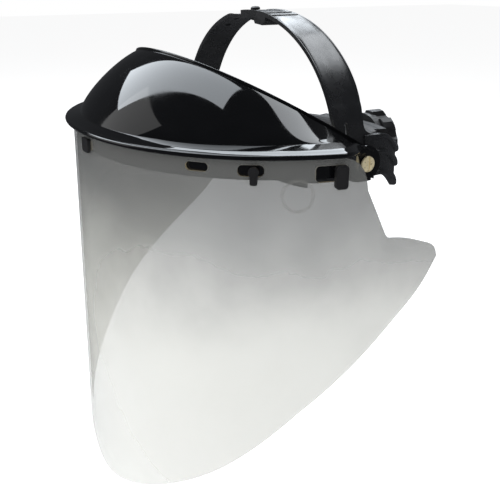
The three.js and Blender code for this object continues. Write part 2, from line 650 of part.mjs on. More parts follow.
/** Headset strip that follows the brow: used by the front headband and its sweatband. */
function browStrip({ reach, step, height, offset, thickness, templeHeight }) {
  const half = range(0, reach, Math.round(reach / step));
  return sheet({
    stations: [...half.slice(1).reverse().map((s) => -s), ...half],
    fractions: [0, 1],
    edges: (s) => {
      const side = smooth(Math.abs(s), 70, headbandTrack.length - 24);
      const centre = mix(HEADBAND.frontZ, HEADBAND.templeZ, side);
      const tall = mix(height, templeHeight, side);
      return [centre - tall / 2, centre + tall / 2];
    },
    place: (s, z, out) => {
      const p = headbandTrack.at(Math.abs(s), out);
      return new THREE.Vector3(Math.sign(s || 1) * p.x, p.y, z);
    },
    skin: () => [offset + thickness / 2, offset - thickness / 2],
  });
}

function frontHeadband() {
  const strip = browStrip({
    reach: headbandTrack.length + 6.5, step: 6, height: HEADBAND.height, offset: 0,
    thickness: HEADBAND.thickness, templeHeight: HEADBAND.templeHeight,
  });
  const bore = discX(SCREW.hole, STACK.headband[0] - OVERCUT, STACK.headband[1] + OVERCUT);
  return carved(strip, bore, mirrored(bore));
}

function sweatband() {
  return browStrip({
    reach: SWEATBAND.reach, step: 8, height: SWEATBAND.height,
    offset: -(HEADBAND.thickness + SWEATBAND.thickness) / 2 - GAP,
    thickness: SWEATBAND.thickness, templeHeight: SWEATBAND.templeHeight,
  });
}

/** Two-headed pin that locks the strap halves together at the top of the head. */
function strapPin() {
  const over = ARCH.thickness / 2 + GAP / 2;
  const under = -ARCH.thickness * 1.5 - GAP * 1.5;
  const pin = turnedX([
    [0, over + 2.2], [2.2, over + 2], [3.1, over + 1.2], [3.1, over], [1.8, over],
    [1.8, under], [3.3, under], [3.3, under - 0.9], [2.4, under - 1.5], [0, under - 1.6],
  ], 16);
  return onArch(pin.rotateY(-Math.PI / 2), ARCH_APEX - STRAP_HOLES.pinX);
}

// ---------------------------------------------------------------- ratchet

/** Point round the nape: angle from the rear centre towards the wearer's left. */
function napePoint(angle, z, radius) {
  return new THREE.Vector3(radius * Math.sin(angle), REAR_Y + radius * Math.cos(angle), z);
}

/** Curved block round the nape between two radii. */
function napeBlock({ inner, outer, halfAngle, halfHeight, steps }) {
  return sheet({
    stations: range(-halfAngle, halfAngle, steps),
    fractions: [0, 1],
    edges: () => [NAPE_Z - halfHeight, NAPE_Z + halfHeight],
    place: napePoint,
    skin: () => [outer, inner],
  });
}

/** Disc about an axis along Y through the ratchet's centre. */
function discY(radius, from, to, x = 0, segments = 16) {
  return new THREE.CylinderGeometry(radius, radius, to - from, segments).translate(x, (from + to) / 2, NAPE_Z);
}

function ratchetBase() {
  const plate = napeBlock({ ...HOUSING, ...BASE, steps: 10 });
  const [from, to] = [BASE.inner + REAR_Y - OVERCUT, BASE.outer + REAR_Y + OVERCUT];
  const screwHoles = [-HOUSING_SCREW.x, HOUSING_SCREW.x].flatMap((x) => [
    discY(HOUSING_SCREW.hole, from, to, x, 16), discY(HOUSING_SCREW.head + 0.4, from, HOUSING_SCREW.seatY, x, 20),
  ]);
  return carved(plate, discY(GEAR.journal + GAP, from, to), ...screwHoles);
}

/** Outer housing: a curved tray open towards the head, with a hole for the drive shaft. */
function ratchetCover() {
  const { halfAngle, halfHeight, wall, outer } = HOUSING;
  const rim = BASE.outer + GAP;
  const floor = RACK.outer + 0.4;
  const angles = range(-halfAngle, halfAngle, 14);
  const section = (tall, deep) => angles.map((a) => [
    napePoint(a, NAPE_Z + tall, rim), napePoint(a, NAPE_Z + tall, deep - 1), napePoint(a, NAPE_Z + tall - 1, deep),
    napePoint(a, NAPE_Z - tall + 1, deep), napePoint(a, NAPE_Z - tall, deep - 1), napePoint(a, NAPE_Z - tall, rim),
  ]);
  const tray = loft(section(halfHeight, outer), section(halfHeight - wall, floor));
  const from = floor + REAR_Y - OVERCUT;
  const screwHoles = [-HOUSING_SCREW.x, HOUSING_SCREW.x].map(
    (x) => discY(HOUSING_SCREW.hole, from, HOUSING_SCREW.tipY + 0.4, x, 16),
  );
  return carved(tray, discY(GEAR.shaft + GAP, from, COVER_FACE_Y + OVERCUT), ...screwHoles);
}

/** Rack running over (+1) or under (-1) the pinion, with teeth facing it. */
function rack(side) {
  const radius = (RACK.inner + RACK.outer) / 2;
  const pitch = (2 * Math.PI * GEAR.pitch) / GEAR.teeth;
  const half = pitch / 4 - GEAR.slack / 4;
  const slope = Math.tan(GEAR.pressure);
  const [reach, depth] = [GEAR.tip - GEAR.pitch, GEAR.pitch - GEAR.root];
  const stations = [];
  const first = Math.ceil((RACK.tail * radius) / pitch) + 0.5;
  const last = (RACK.toothed * radius) / pitch;
  for (let k = first; k < last; k += 1) {
    const centre = k * pitch;
    stations.push([centre - half - depth * slope, depth], [centre - half + reach * slope, -reach]);
    stations.push([centre + half - reach * slope, -reach], [centre + half + depth * slope, depth]);
  }
  stations.unshift([RACK.tail * radius, depth]);
  stations.push(...range(stations[stations.length - 1][0], RACK.end * radius, 6).slice(1).map((s) => [s, depth]));
  const roots = new Map(stations.map(([s, root]) => [s / radius, root]));
  return sheet({
    stations: [...roots.keys()],
    fractions: [0, 1],
    edges: (angle) => [NAPE_Z + side * (GEAR.pitch + roots.get(angle)), NAPE_Z + side * RACK.back],
    place: napePoint,
    skin: () => [RACK.outer, RACK.inner],
  });
}

/** Pinion with involute teeth, its drive shaft to the knob and its journal in the base. */
function drivePinion() {
  const base = GEAR.pitch * Math.cos(GEAR.pressure);
  const involute = (radius) => {
    const angle = Math.acos(Math.min(base / radius, 1));
    return Math.tan(angle) - angle;
  };
  const pitchHalf = (Math.PI / GEAR.teeth / 2) - GEAR.slack / 4 / GEAR.pitch;
  const halfAngle = (radius) => pitchHalf + involute(GEAR.pitch) - involute(Math.max(radius, base));
  const radii = [GEAR.root, base, GEAR.pitch, GEAR.tip];
  const outline = [];
  for (let tooth = 0; tooth < GEAR.teeth; tooth += 1) {
    const centre = Math.PI / 2 + (tooth * 2 * Math.PI) / GEAR.teeth;
    radii.forEach((r) => outline.push(arcPoint(0, 0, r, centre - halfAngle(r))));
    [...radii].reverse().forEach((r) => outline.push(arcPoint(0, 0, r, centre + halfAngle(r))));
  }
  const wheel = prismY(new THREE.Shape(outline), RACK.inner + REAR_Y, RACK.outer + REAR_Y)
    .translate(0, 0, NAPE_Z);
  const shaft = discY(GEAR.shaft, RACK.outer + REAR_Y - 1, KNOB.recessEnd);
  const drive = discY(GEAR.shaft, KNOB.recessEnd - 1, KNOB.shaftEnd, 0, 6);
  const journal = discY(GEAR.journal, RACK.inner + REAR_Y - 2.6, RACK.inner + REAR_Y + 1);
  return carved(joined(wheel, shaft, drive, journal), discY(1.8, KNOB.shaftEnd - 7, KNOB.shaftEnd + 1, 0, 16));
}

/** Outline of a wheel with square-shouldered lobes, one of them straight up. */
function lobedOutline() {
  const [shoulder, root] = [10.5 * DEG, 15.5 * DEG];
  return new THREE.Shape(range(0, 2 * Math.PI, KNOB.lobes).slice(1).flatMap((turn) => {
    const centre = Math.PI / 2 + turn;
    return [
      arcPoint(0, 0, KNOB.valley, centre - root), arcPoint(0, 0, KNOB.radius, centre - shoulder),
      arcPoint(0, 0, KNOB.radius + 0.4, centre),
      arcPoint(0, 0, KNOB.radius, centre + shoulder), arcPoint(0, 0, KNOB.valley, centre + root),
    ];
  }));
}

/** Outline of the fluted recess that the detent clicks along. */
function fluteOutline() {
  return new THREE.Shape(range(0, 2 * Math.PI, 36).slice(0, -1).map(
    (a, i) => arcPoint(0, 0, KNOB.recess - 0.8 * (i % 2), a),
  ));
}

function ratchetKnob() {
  const edge = KNOB.radius + 0.5;
  const envelope = turnedX([
    [0, KNOB.gripFrom], [edge - 0.8, KNOB.gripFrom], [edge, KNOB.gripFrom + 0.8], [edge, KNOB.to - 2.6],
    [edge - 3.2, KNOB.to], [0, KNOB.to],
  ], 40).rotateZ(Math.PI / 2).translate(0, 0, NAPE_Z);
  const lobes = prismY(lobedOutline(), KNOB.gripFrom, KNOB.to).translate(0, 0, NAPE_Z);
  const flutes = prismY(fluteOutline(), KNOB.from - 1, KNOB.recessEnd).translate(0, 0, NAPE_Z);
  return carved(
    joined(overlapOf(lobes, envelope), discY(KNOB.collar, KNOB.from, KNOB.gripFrom + 1, 0, 40)),
    flutes, discY(GEAR.shaft + 0.4, KNOB.from, KNOB.shaftEnd + GAP, 0, 6),
    discY(2.1, KNOB.from, KNOB.to, 0, 16), discY(4.4, KNOB.screwSeat, KNOB.to + 1),
  );
}

function knobScrew() {
  const head = discY(3.9, KNOB.screwSeat + GAP, KNOB.screwSeat + 2.1);
  const shank = discY(1.5, KNOB.shaftEnd - 6, KNOB.screwSeat + 1, 0, 16);
  const slot = new THREE.BoxGeometry(9, 1.6, 1).translate(0, KNOB.screwSeat + 2.1, NAPE_Z);
  return carved(joined(head, shank), slot);
}

/** Bowed leaf in the knob's recess whose nose clicks along the flutes. */
function detentSpring() {
  const [thin, wide, nose] = [8.4, 9.6, 12.7];
  const bow = new THREE.Shape().absarc(0, 0, wide, 35 * DEG, 84 * DEG, false);
  bow.lineTo(0.9, nose - 0.5);
  bow.lineTo(0, nose);
  bow.lineTo(-0.9, nose - 0.5);
  bow.absarc(0, 0, wide, 96 * DEG, 145 * DEG, false);
  bow.absarc(0, 0, thin, 145 * DEG, 35 * DEG, true);
  return clean(prismY(bow, COVER_FACE_Y + GAP, COVER_FACE_Y + 3).translate(0, 0, NAPE_Z));
}

function housingScrew() {
  const { x, head, shank, seatY, tipY } = HOUSING_SCREW;
  const slot = new THREE.BoxGeometry(2 * head + 1, 1, 0.8).translate(x, seatY - 1.6, NAPE_Z);
  return carved(joined(discY(head, seatY - 1.5, seatY - 0.2, x, 20), discY(shank, seatY - 1, tipY, x, 16)), slot);
}

// ---------------------------------------------------------------- assembly

const shield = new THREE.Group();

function add(name, geometry, material) {
  const mesh = new THREE.Mesh(geometry, material.clone());
  mesh.name = name;
  shield.add(mesh);
}

/** The same piece on the wearer's left and, mirrored, on the right. */
function addPair(name, geometry, material) {
  add(`${name}_left`, clean(geometry), material);
  add(`${name}_right`, mirrored(geometry), material);
}

add('crown_shell', crownShell(), GLOSS_BLACK);
add('window', windowSheet(), SMOKE_CLEAR);
add('front_stud', onWindow(fittingBody(FRONT_STUD), FRONT_STUD), SATIN_BLACK);
addPair('lock_button', onWindow(fittingBody(LOCK_BUTTON), LOCK_BUTTON), SATIN_BLACK);
addPair('side_lever', onWindow(fittingBody(SIDE_LEVER), SIDE_LEVER), SATIN_BLACK);

addPair('pivot_screw', pivotScrew(), BRASS);
addPair('friction_washer', ringX(8.5, SCREW.hole, ...STACK.washer), NYLON);
addPair('spring_washer', springWasher(), STEEL);
addPair('lock_nut', lockNut(), STEEL);

add('side_frame_left', sideFrame({
  overlap: OVERLAP.left, drop: 0, pinHoles: [-STRAP_HOLES.pinX], extras: strapRibs(),
}), SATIN_BLACK);
const drop = ARCH.thickness + GAP;
add('side_frame_right', mirrored(sideFrame({
  overlap: OVERLAP.right, drop, extras: [catchBlock(drop)],
  pinHoles: Array.from({ length: STRAP_HOLES.count }, (_, i) => STRAP_HOLES.pinX - i * STRAP_HOLES.pitch),
})), SATIN_BLACK);
add('strap_pin', clean(strapPin()), SATIN_BLACK);
add('front_headband', frontHeadband(), SATIN_BLACK);
add('sweatband', sweatband(), LEATHERETTE);

add('ratchet_base', ratchetBase(), SATIN_BLACK);
add('ratchet_cover', ratchetCover(), SATIN_BLACK);
add('rack_left', rack(1), SATIN_BLACK);
add('rack_right', mirrored(rack(-1)), SATIN_BLACK);
add('drive_pinion', drivePinion(), SATIN_BLACK);
add('ratchet_knob', ratchetKnob(), SATIN_BLACK);
add('knob_screw', knobScrew(), STEEL);
add('detent_spring', detentSpring(), STEEL);
addPair('housing_screw', housingScrew(), STEEL);
add('nape_pad', napeBlock({ ...NAPE_PAD, steps: 12 }), FOAM);

export default shield;
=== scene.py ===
"""Face shield: fine pieces, materials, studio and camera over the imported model.

Shapes are worked out in millimetres in the part's frame (+Z up, window facing -Y, tilt axis on X)
and scaled to metres when each mesh is made.
"""

import math

import bpy
import numpy as np
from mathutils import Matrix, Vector


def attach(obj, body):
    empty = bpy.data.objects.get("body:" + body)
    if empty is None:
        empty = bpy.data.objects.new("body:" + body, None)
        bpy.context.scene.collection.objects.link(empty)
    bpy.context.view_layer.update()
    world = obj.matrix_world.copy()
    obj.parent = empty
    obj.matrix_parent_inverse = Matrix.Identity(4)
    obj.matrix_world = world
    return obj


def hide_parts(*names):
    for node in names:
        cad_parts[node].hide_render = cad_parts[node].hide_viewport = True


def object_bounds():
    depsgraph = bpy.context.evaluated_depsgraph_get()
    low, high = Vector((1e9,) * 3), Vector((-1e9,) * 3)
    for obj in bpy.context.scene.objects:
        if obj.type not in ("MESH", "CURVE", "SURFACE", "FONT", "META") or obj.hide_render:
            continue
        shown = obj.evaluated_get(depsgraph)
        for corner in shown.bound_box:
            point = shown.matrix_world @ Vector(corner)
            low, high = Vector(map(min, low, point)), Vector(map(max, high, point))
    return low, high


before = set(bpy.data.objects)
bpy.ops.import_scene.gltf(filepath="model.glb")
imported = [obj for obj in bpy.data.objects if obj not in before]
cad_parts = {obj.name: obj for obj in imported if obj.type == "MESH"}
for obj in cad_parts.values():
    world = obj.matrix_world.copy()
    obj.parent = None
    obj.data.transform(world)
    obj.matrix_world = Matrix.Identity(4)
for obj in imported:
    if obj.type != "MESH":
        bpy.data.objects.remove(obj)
cad_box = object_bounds()

# ---------------------------------------------------------------- dimensions (mm)

MM = 0.001
GAP = 0.3

# Crown: rear rim arch, foot of the dome, brim lip, and the skirt behind the window.
SHELL = 2.6
RIM = dict(half_width=101.7, end=(4.9, 5.6), peak=(-83.5, 59.2), exponent=2.24)
RIM_DEPTH = math.dist(RIM["end"], RIM["peak"])
ROOT = dict(half_width=119.0, front=121.4, centre=-4.9, exponent=2.2, z=18.7, corner=(118, -25))
LIP = dict(
    half_width=135.4, front=126.6, centre=-9.0, exponent=2.13, top=16.2, under=13.5, corner=(131.6, -27.5),
)
SKIRT = dict(bottom=1.9, corner=(129, -28))
DOME_EXPONENT = 1.54
SIDE_TURN = math.radians(12)
BEAD = 1.3
EAR = dict(radius=10.5, inner=99.3, outer=102.3, face=102.2, root=(-1, 10.5), lip_y=-2.5, skirt_y=-4.5)

# Window: a flared oval sheet, its outline given as (length from the centre, Z).
WINDOW = dict(half_width=130.9, front=121.5, centre=-9.0, exponent=2.13)
WINDOW_TOP_Z = 13.2
WINDOW_THICKNESS = 1.5
FLARE = (0.0375, 0.013)
SKIRT_INSET = WINDOW_THICKNESS + 0.4
TOP_EDGE = [
    (0, 13.2), (187.2, 13.2, 18), (188.4, -6, 1), (202.3, -35.2, 3.5), (216, -37, 8), (238.5, -45, 5),
    (240, -52),
]
LOW_EDGE = [
    (-30, -214.4), (0, -221.4), (30, -214.4), (63.5, -199.4), (95.8, -180.2), (120.4, -161),
    (150.5, -133.4),
]
TIP_EDGE = [(150.5, -133.4), (229, -69.4, 14), (240, -52)]
CORNERS_FROM = 168
# Slots: length along the window, Z, width, height and corner radius.
SLOTS = [(0, 6.2, 8, 6, 0.8), (94.5, 8, 13, 4.8, 2.3), (124, 7.3, 14, 6, 2.6), (167, 4.9, 18, 8.6, 2.2)]
EMBOSSED_RING = dict(s=148.5, z=-6.2, radius=8.3, width=0.9, height=0.22)

# Overhead strap and temple plate.
ARCH = dict(half_width=95.0, height=79.7, exponent=2.03)
STRAP = dict(width=25.0, centre=-5.7, lean=3.5, thickness=2.2)
PLATE_BOTTOM = -12.5
OVERLAP = dict(left=13.0, right=18.0)
CATCH = dict(start=1.0, end=17.0, depth=3.2, inset=0.8)
STRAP_RIBS = dict(places=(16.0, 23.0), half_width=0.8, height=0.6, inset=0.6)
STRAP_HOLES = dict(pitch=13.0, count=4, pin_x=-8.0, radius=2.1)
SLIT = dict(y=-8.6, z=16.0, width=2.2, height=14.0)

# Rear band and its rails.
BAND = dict(side_x=95.0, corner=38.0, corner_y=4.0, rear=103.7, height=25.0, top=14.9)
BAND_DROP = dict(start=14.0, end=58.0, depth=16.4)
RAIL = dict(places=(0.06, 0.565, 0.94), half_width=0.065, height=2.0)
HOUSING_HALF_ANGLE = math.radians(19.8)

# Headband, sweatband and nape pad.
HEADBAND = dict(half_width=92.5, front=94.0, centre=0.0, exponent=2.2)
BROW = dict(front_z=16.0, temple_z=-3.5, thickness=2.2, height=26, temple_height=15, overhang=6.5)
SWEATBAND = dict(reach=118.0, thickness=4.5, height=34, temple_height=22)
NAPE_PAD = dict(inner=89.3, outer=95.2, half_angle=math.radians(25), half_height=16.5, z=-14.0)

# Pivot screw: radii, and X positions outwards from the head.
SCREW = dict(head=4.6, shank=2.5, slot=1.3, tail=86.6, under=102.6, shoulder=103.9, top=105.0)

# Camera: angles round the object in degrees, everything else in millimetres.
CAMERA = dict(
    azimuth=59.75, elevation=20.01, distance=543.82, target=(0.0, -17.99, -81.84), lens=55.143, sensor=36,
    clip=10,
)
FLOOR = dict(half_width=6000, drop=12)

# ---------------------------------------------------------------- curves


def power(value, p):
    return np.sign(value) * np.abs(value) ** p


def mix(a, b, f):
    return a + (b - a) * f


def smooth(value, start, end):
    f = np.clip((value - start) / (end - start), 0, 1)
    return f * f * (3 - 2 * f)


class Track:
    """A plane curve measured by its own length and continued straight past both ends."""

    def __init__(self, points):
        self.points = np.array(points, dtype=float)
        steps = np.hypot(*np.diff(self.points, axis=0).T)
        self.lengths = np.concatenate([[0], np.cumsum(steps)])
        self.length = self.lengths[-1]

    def at(self, s, offset=0.0):
        i = int(np.clip(np.searchsorted(self.lengths, s), 1, len(self.points) - 1))
        a, b = self.points[i - 1], self.points[i]
        along = (b - a) / (self.lengths[i] - self.lengths[i - 1])
        return a + along * (s - self.lengths[i - 1]) + np.array([along[1], -along[0]]) * offset


def oval_point(oval, angle, inset=0.0):
    """Point of a superellipse in plan, from its front centre (angle 0) round to its side."""
    return np.array([
        (oval["half_width"] - inset) * power(math.sin(angle), 2 / oval["exponent"]),
        oval["centre"] - (oval["front"] - inset) * power(math.cos(angle), 2 / oval["exponent"]),
    ])


def quarter_track(oval):
    return Track([oval_point(oval, a) for a in np.linspace(0, math.pi / 2, 160)])


def arc(x, y, radius, angles):
    return [(x + radius * math.cos(a), y + radius * math.sin(a)) for a in angles]


window_track = quarter_track(WINDOW)
headband_track = quarter_track(HEADBAND)
arch_track = Track([(ARCH["half_width"], PLATE_BOTTOM)] + [
    (ARCH["half_width"] * power(math.cos(a), 2 / ARCH["exponent"]),
     ARCH["height"] * power(math.sin(a), 2 / ARCH["exponent"]))
    for a in np.linspace(0, math.pi, 361)
])
ARCH_APEX = (arch_track.length - PLATE_BOTTOM) / 2

CORNER_X = BAND["side_x"] - BAND["corner"]
REAR_Y = BAND["corner_y"] - math.sqrt((BAND["rear"] - BAND["corner"]) ** 2 - CORNER_X ** 2)
CORNER_END = math.atan2(BAND["corner_y"] - REAR_Y, CORNER_X)
band_track = Track(
    [(BAND["side_x"], 0)]
    + arc(CORNER_X, BAND["corner_y"], BAND["corner"], np.linspace(0, CORNER_END, 60))
    + arc(0, REAR_Y, BAND["rear"], np.linspace(CORNER_END, math.pi / 2, 120)[1:])
)


def window_point(s, z, offset=0.0):
    """Point of the window: s along the top edge from the centre, height z, offset outwards."""
    x, y = window_track.at(abs(s), offset)
    depth = WINDOW_TOP_Z - z
    x *= 1 + FLARE[0] * depth / WINDOW["half_width"]
    y += min(y - WINDOW["centre"], 0) * FLARE[1] * depth / WINDOW["front"]
    return np.array([x if s >= 0 else -x, y, z])


def window_axes(s, z):
    """Origin and the along, up and outward directions of the window surface at a point."""
    along = window_point(s + 0.5, z) - window_point(s - 0.5, z)
    along /= np.linalg.norm(along)
    up = np.array([0.0, 0.0, 1.0])
    return window_point(s, z), along, up, np.cross(along, up)


# ---------------------------------------------------------------- meshes


def make_piece(name, verts, faces, body, material, sharp=40):
    """Mesh object from millimetre points, smooth except across sharp edges, riding on a body."""
    mesh = bpy.data.meshes.new(name)
    mesh.from_pydata([tuple(v) for v in np.asarray(verts, dtype=float) * MM], [], faces)
    mesh.materials.append(material)
    mesh.validate()
    mesh.shade_smooth()
    mesh.set_sharp_from_angle(angle=math.radians(sharp))
    piece = bpy.data.objects.new(name, mesh)
    bpy.context.scene.collection.objects.link(piece)
    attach(piece, body)
    return piece


def loft(outer, inner):
    """Closed skin between two matching grids of points, shaped (rows, columns, 3)."""
    outer, inner = np.asarray(outer, dtype=float), np.asarray(inner, dtype=float)
    rows, columns = outer.shape[:2]
    verts = np.concatenate([outer.reshape(-1, 3), inner.reshape(-1, 3)])

    def at(skin, i, j):
        return (skin * rows + i) * columns + j

    faces = []
    for i in range(rows - 1):
        for j in range(columns - 1):
            faces.append((at(0, i, j), at(0, i + 1, j), at(0, i + 1, j + 1), at(0, i, j + 1)))
            faces.append((at(1, i, j), at(1, i, j + 1), at(1, i + 1, j + 1), at(1, i + 1, j)))
    last = columns - 1
    for i in range(rows - 1):
        faces.append((at(0, i, 0), at(1, i, 0), at(1, i + 1, 0), at(0, i + 1, 0)))
        faces.append((at(0, i, last), at(0, i + 1, last), at(1, i + 1, last), at(1, i, last)))
    last = rows - 1
    for j in range(columns - 1):
        faces.append((at(0, 0, j), at(0, 0, j + 1), at(1, 0, j + 1), at(1, 0, j)))
        faces.append((at(0, last, j), at(1, last, j), at(1, last, j + 1), at(0, last, j + 1)))
    return verts, outward(verts, faces)


def outward(verts, faces):
    """The faces, all turned over if they enclose a negative volume."""
    volume = 0.0
    for face in faces:
        a = verts[face[0]]
        for b, c in zip(face[1:-1], face[2:]):
            volume += np.dot(a, np.cross(verts[b], verts[c]))
    return faces if volume > 0 else [tuple(reversed(f)) for f in faces]


def sheet(stations, fractions, edges, place, skin):
    """Curved sheet between two edges, with two faces at the offsets that skin gives."""
    grids = ([], [])
    for s in stations:
        low, high = edges(s)
        for side, grid in enumerate(grids):
            grid.append([place(s, mix(low, high, f), skin(s, f)[side]) for f in fractions])
    return loft(*grids)


def lathe_x(profile, segments=72):
    """Round solid about an axis along X, from (radius, x) pairs that start and end on the axis."""
    verts, rings = [], []
    for radius, x in profile:
        if radius == 0:
            rings.append([len(verts)] * segments)
            verts.append((x, 0.0, 0.0))
            continue
        rings.append(list(range(len(verts), len(verts) + segments)))
        for k in range(segments):
            a = 2 * math.pi * k / segments
            verts.append((x, radius * math.cos(a), radius * math.sin(a)))
    faces = []
    for low, high in zip(rings, rings[1:]):
        for k in range(segments):
            n = (k + 1) % segments
            ring = (low[k], low[n], high[n], high[k])
            faces.append(tuple(dict.fromkeys(ring)))
    verts = np.array(verts, dtype=float)
    return verts, outward(verts, faces)


def merged(*parts):
    """Several (verts, faces) as one."""
    verts, faces = [], []
    for part_verts, part_faces in parts:
        start = len(verts)
        verts.extend(np.asarray(part_verts).tolist())
        faces.extend([tuple(start + i for i in face) for face in part_faces])
    return np.array(verts), faces


def mirrored(part):
    """The same (verts, faces) on the other side of the middle."""
    verts, faces = part
    return np.asarray(verts) * np.array([-1, 1, 1]), [tuple(reversed(face)) for face in faces]


def rounded_outline(width, height, corner, steps=8):
    """Points of a rounded rectangle about the origin."""
    points = []
    for quarter, (sx, sy) in enumerate(((1, -1), (1, 1), (-1, 1), (-1, -1))):
        start = -math.pi / 2 + quarter * math.pi / 2
        cx, cy = sx * (width / 2 - corner), sy * (height / 2 - corner)
        points += arc(cx, cy, corner, np.linspace(start, start + math.pi / 2, steps))
    return points


def prism(outline, place, low, high):
    """Prism of an outline: place(u, v, depth) puts a point in space."""
    count = len(outline)
    verts = [place(u, v, low) for u, v in outline] + [place(u, v, high) for u, v in outline]
    faces = [tuple(reversed(range(count))), tuple(range(count, 2 * count))]
    for k in range(count):
        n = (k + 1) % count
        faces.append((k, n, count + n, count + k))
    verts = np.array(verts, dtype=float)
    return verts, outward(verts, faces)


def round_edges(piece, width, angle=35):
    """Small rounded edges, in millimetres."""
    bevel = piece.modifiers.new("rounded edges", "BEVEL")
    bevel.width = width * MM
    bevel.segments = 2
    bevel.limit_method = "ANGLE"
    bevel.angle_limit = math.radians(angle)
    bevel.harden_normals = True


def cut(piece, part, material):
    """Cuts closed solids out of a piece, leaving the given material on the cut walls."""
    verts, faces = part
    mesh = bpy.data.meshes.new("cutter")
    mesh.from_pydata([tuple(v) for v in np.asarray(verts) * MM], [], faces)
    mesh.materials.append(material)
    cutter = bpy.data.objects.new("cutter", mesh)
    bpy.context.scene.collection.objects.link(cutter)
    boolean = piece.modifiers.new("cut", "BOOLEAN")
    boolean.operation = "DIFFERENCE"
    boolean.solver = "EXACT"
    boolean.material_mode = "TRANSFER"
    boolean.use_self = True
    boolean.object = cutter
    graph = bpy.context.evaluated_depsgraph_get()
    result = bpy.data.meshes.new_from_object(piece.evaluated_get(graph))
    piece.modifiers.remove(boolean)
    piece.data = result
    bpy.data.objects.remove(cutter)
    result.shade_smooth()
    result.set_sharp_from_angle(angle=math.radians(40))


# ---------------------------------------------------------------- materials


class Surface:
    """A Principled material with object coordinates and a few helpers for its nodes."""

    def __init__(self, name, **sockets):
        self.material = bpy.data.materials.new(name)
        self.material.use_nodes = True
        self.tree = self.material.node_tree
        self.shader = self.tree.nodes["Principled BSDF"]
        for socket, value in sockets.items():
            self.shader.inputs[socket.replace("_", " ")].default_value = value
        self.place = self.tree.nodes.new("ShaderNodeTexCoord").outputs["Object"]

    def node(self, kind, inputs=(), **settings):
        """New node with its settings, its inputs either linked or given a value."""
        node = self.tree.nodes.new(kind)
        for key, value in settings.items():
            setattr(node, key, value)
        for key, value in dict(inputs).items():
            if isinstance(value, bpy.types.NodeSocket):
                self.tree.links.new(value, node.inputs[key])
            else:
                node.inputs[key].default_value = value
        return node

    def noise(self, scale, detail=3.0):
        inputs = {"Vector": self.place, "Scale": scale, "Detail": detail}
        return self.node("ShaderNodeTexNoise", inputs).outputs["Fac"]

    def voronoi(self, scale):
        return self.node("ShaderNodeTexVoronoi", {"Vector": self.place, "Scale": scale}).outputs["Distance"]

    def spread(self, value, low, high, start=0.0, end=1.0, easing="LINEAR"):
        """Maps a value from start..end to low..high."""
        inputs = {"Value": value, "From Min": start, "From Max": end, "To Min": low, "To Max": high}
        return self.node("ShaderNodeMapRange", inputs, interpolation_type=easing).outputs["Result"]

    def blend(self, factor, first, second):
        """Colour between two, by a factor; a colour Mix node takes them as inputs 6 and 7."""
        mixer = self.node("ShaderNodeMix", {0: factor}, data_type="RGBA")
        mixer.inputs[6].default_value = (*first, 1)
        mixer.inputs[7].default_value = (*second, 1)
        return mixer.outputs[2]

    def add(self, first, second, kind="ADD"):
        inputs = {0: first, 1: second}
        return self.node("ShaderNodeMath", inputs, operation=kind).outputs[0]

    def bump(self, height, strength, distance):
        inputs = {"Height": height, "Strength": strength, "Distance": distance}
        self.link(self.node("ShaderNodeBump", inputs).outputs["Normal"], "Normal")

    def link(self, output, socket):
        self.tree.links.new(output, self.shader.inputs[socket])


def gloss_black():
    """Highly polished moulding with faint ripple and a few handling smears."""
    s = Surface("gloss_black", Roughness=0.06, Specular_IOR_Level=0.62)
    smear = s.noise(38, 5)
    s.link(s.spread(smear, 0.035, 0.13, 0.42, 0.75), "Roughness")
    s.link(s.blend(s.noise(90), (0.0014, 0.0015, 0.0018), (0.003, 0.0032, 0.0038)), "Base Color")
    s.bump(s.noise(40, 1.0), 0.03, 0.0004)
    return s.material


def satin_black(name, dark, light, roughness, grain, depth):
    """Moulded plastic with a fine grain and slight wear."""
    s = Surface(name, Roughness=roughness, Specular_IOR_Level=0.85)
    wear = s.noise(70, 6)
    s.link(s.spread(wear, roughness - 0.07, roughness + 0.12, 0.35, 0.7), "Roughness")
    s.link(s.blend(wear, dark, light), "Base Color")
    s.bump(s.add(s.noise(grain, 2.0), s.noise(grain * 0.18, 2.0)), depth, 0.0002)
    return s.material


def window_clear():
    """Clear sheet with painted shade: grey, darker and denser towards the top, standing in for the darker
    backdrop seen through it, with a faint handling haze.
    """
    s = Surface("window_clear", Roughness=0.1, IOR=1.45, Specular_IOR_Level=0.35)
    # Painted shade: colour and opacity darken towards the top to stand in for the darker backdrop seen
    # through a clear sheet; the noise wavers the border.
    height = s.node("ShaderNodeSeparateXYZ", {"Vector": s.place}).outputs["Z"]
    cloud = s.spread(s.noise(16, 4), -0.012, 0.012, 0.3, 0.7)
    level = s.add(height, cloud)
    backdrop_shade = s.spread(level, 0.0, 1.0, -0.125, 0.005, "SMOOTHERSTEP")
    s.link(s.blend(backdrop_shade, (0.53, 0.53, 0.49), (0.112, 0.114, 0.111)), "Base Color")
    s.link(s.spread(level, 0.38, 0.66, -0.215, 0.005), "Alpha")
    s.link(s.spread(s.noise(60, 5), 0.06, 0.2, 0.4, 0.75), "Roughness")
    s.bump(s.noise(9, 1.0), 0.05, 0.0008)
    return s.material


def window_relief():
    """The same sheet where it stands proud: almost clear, so that only its rounded sides show."""
    s = Surface("window_relief", Roughness=0.12, Alpha=0.16, Specular_IOR_Level=0.4)
    s.link(s.blend(s.noise(60), (0.20, 0.20, 0.19), (0.30, 0.30, 0.28)), "Base Color")
    s.bump(s.noise(300), 0.05, 0.0001)
    return s.material


def window_edge():
    """Cut edge of the sheet, where light gathers with a warm colour."""
    s = Surface("window_edge", Roughness=0.35, Alpha=0.92)
    s.link(s.blend(s.noise(220), (0.30, 0.25, 0.15), (0.48, 0.42, 0.28)), "Base Color")
    s.bump(s.noise(900), 0.15, 0.0001)
    return s.material


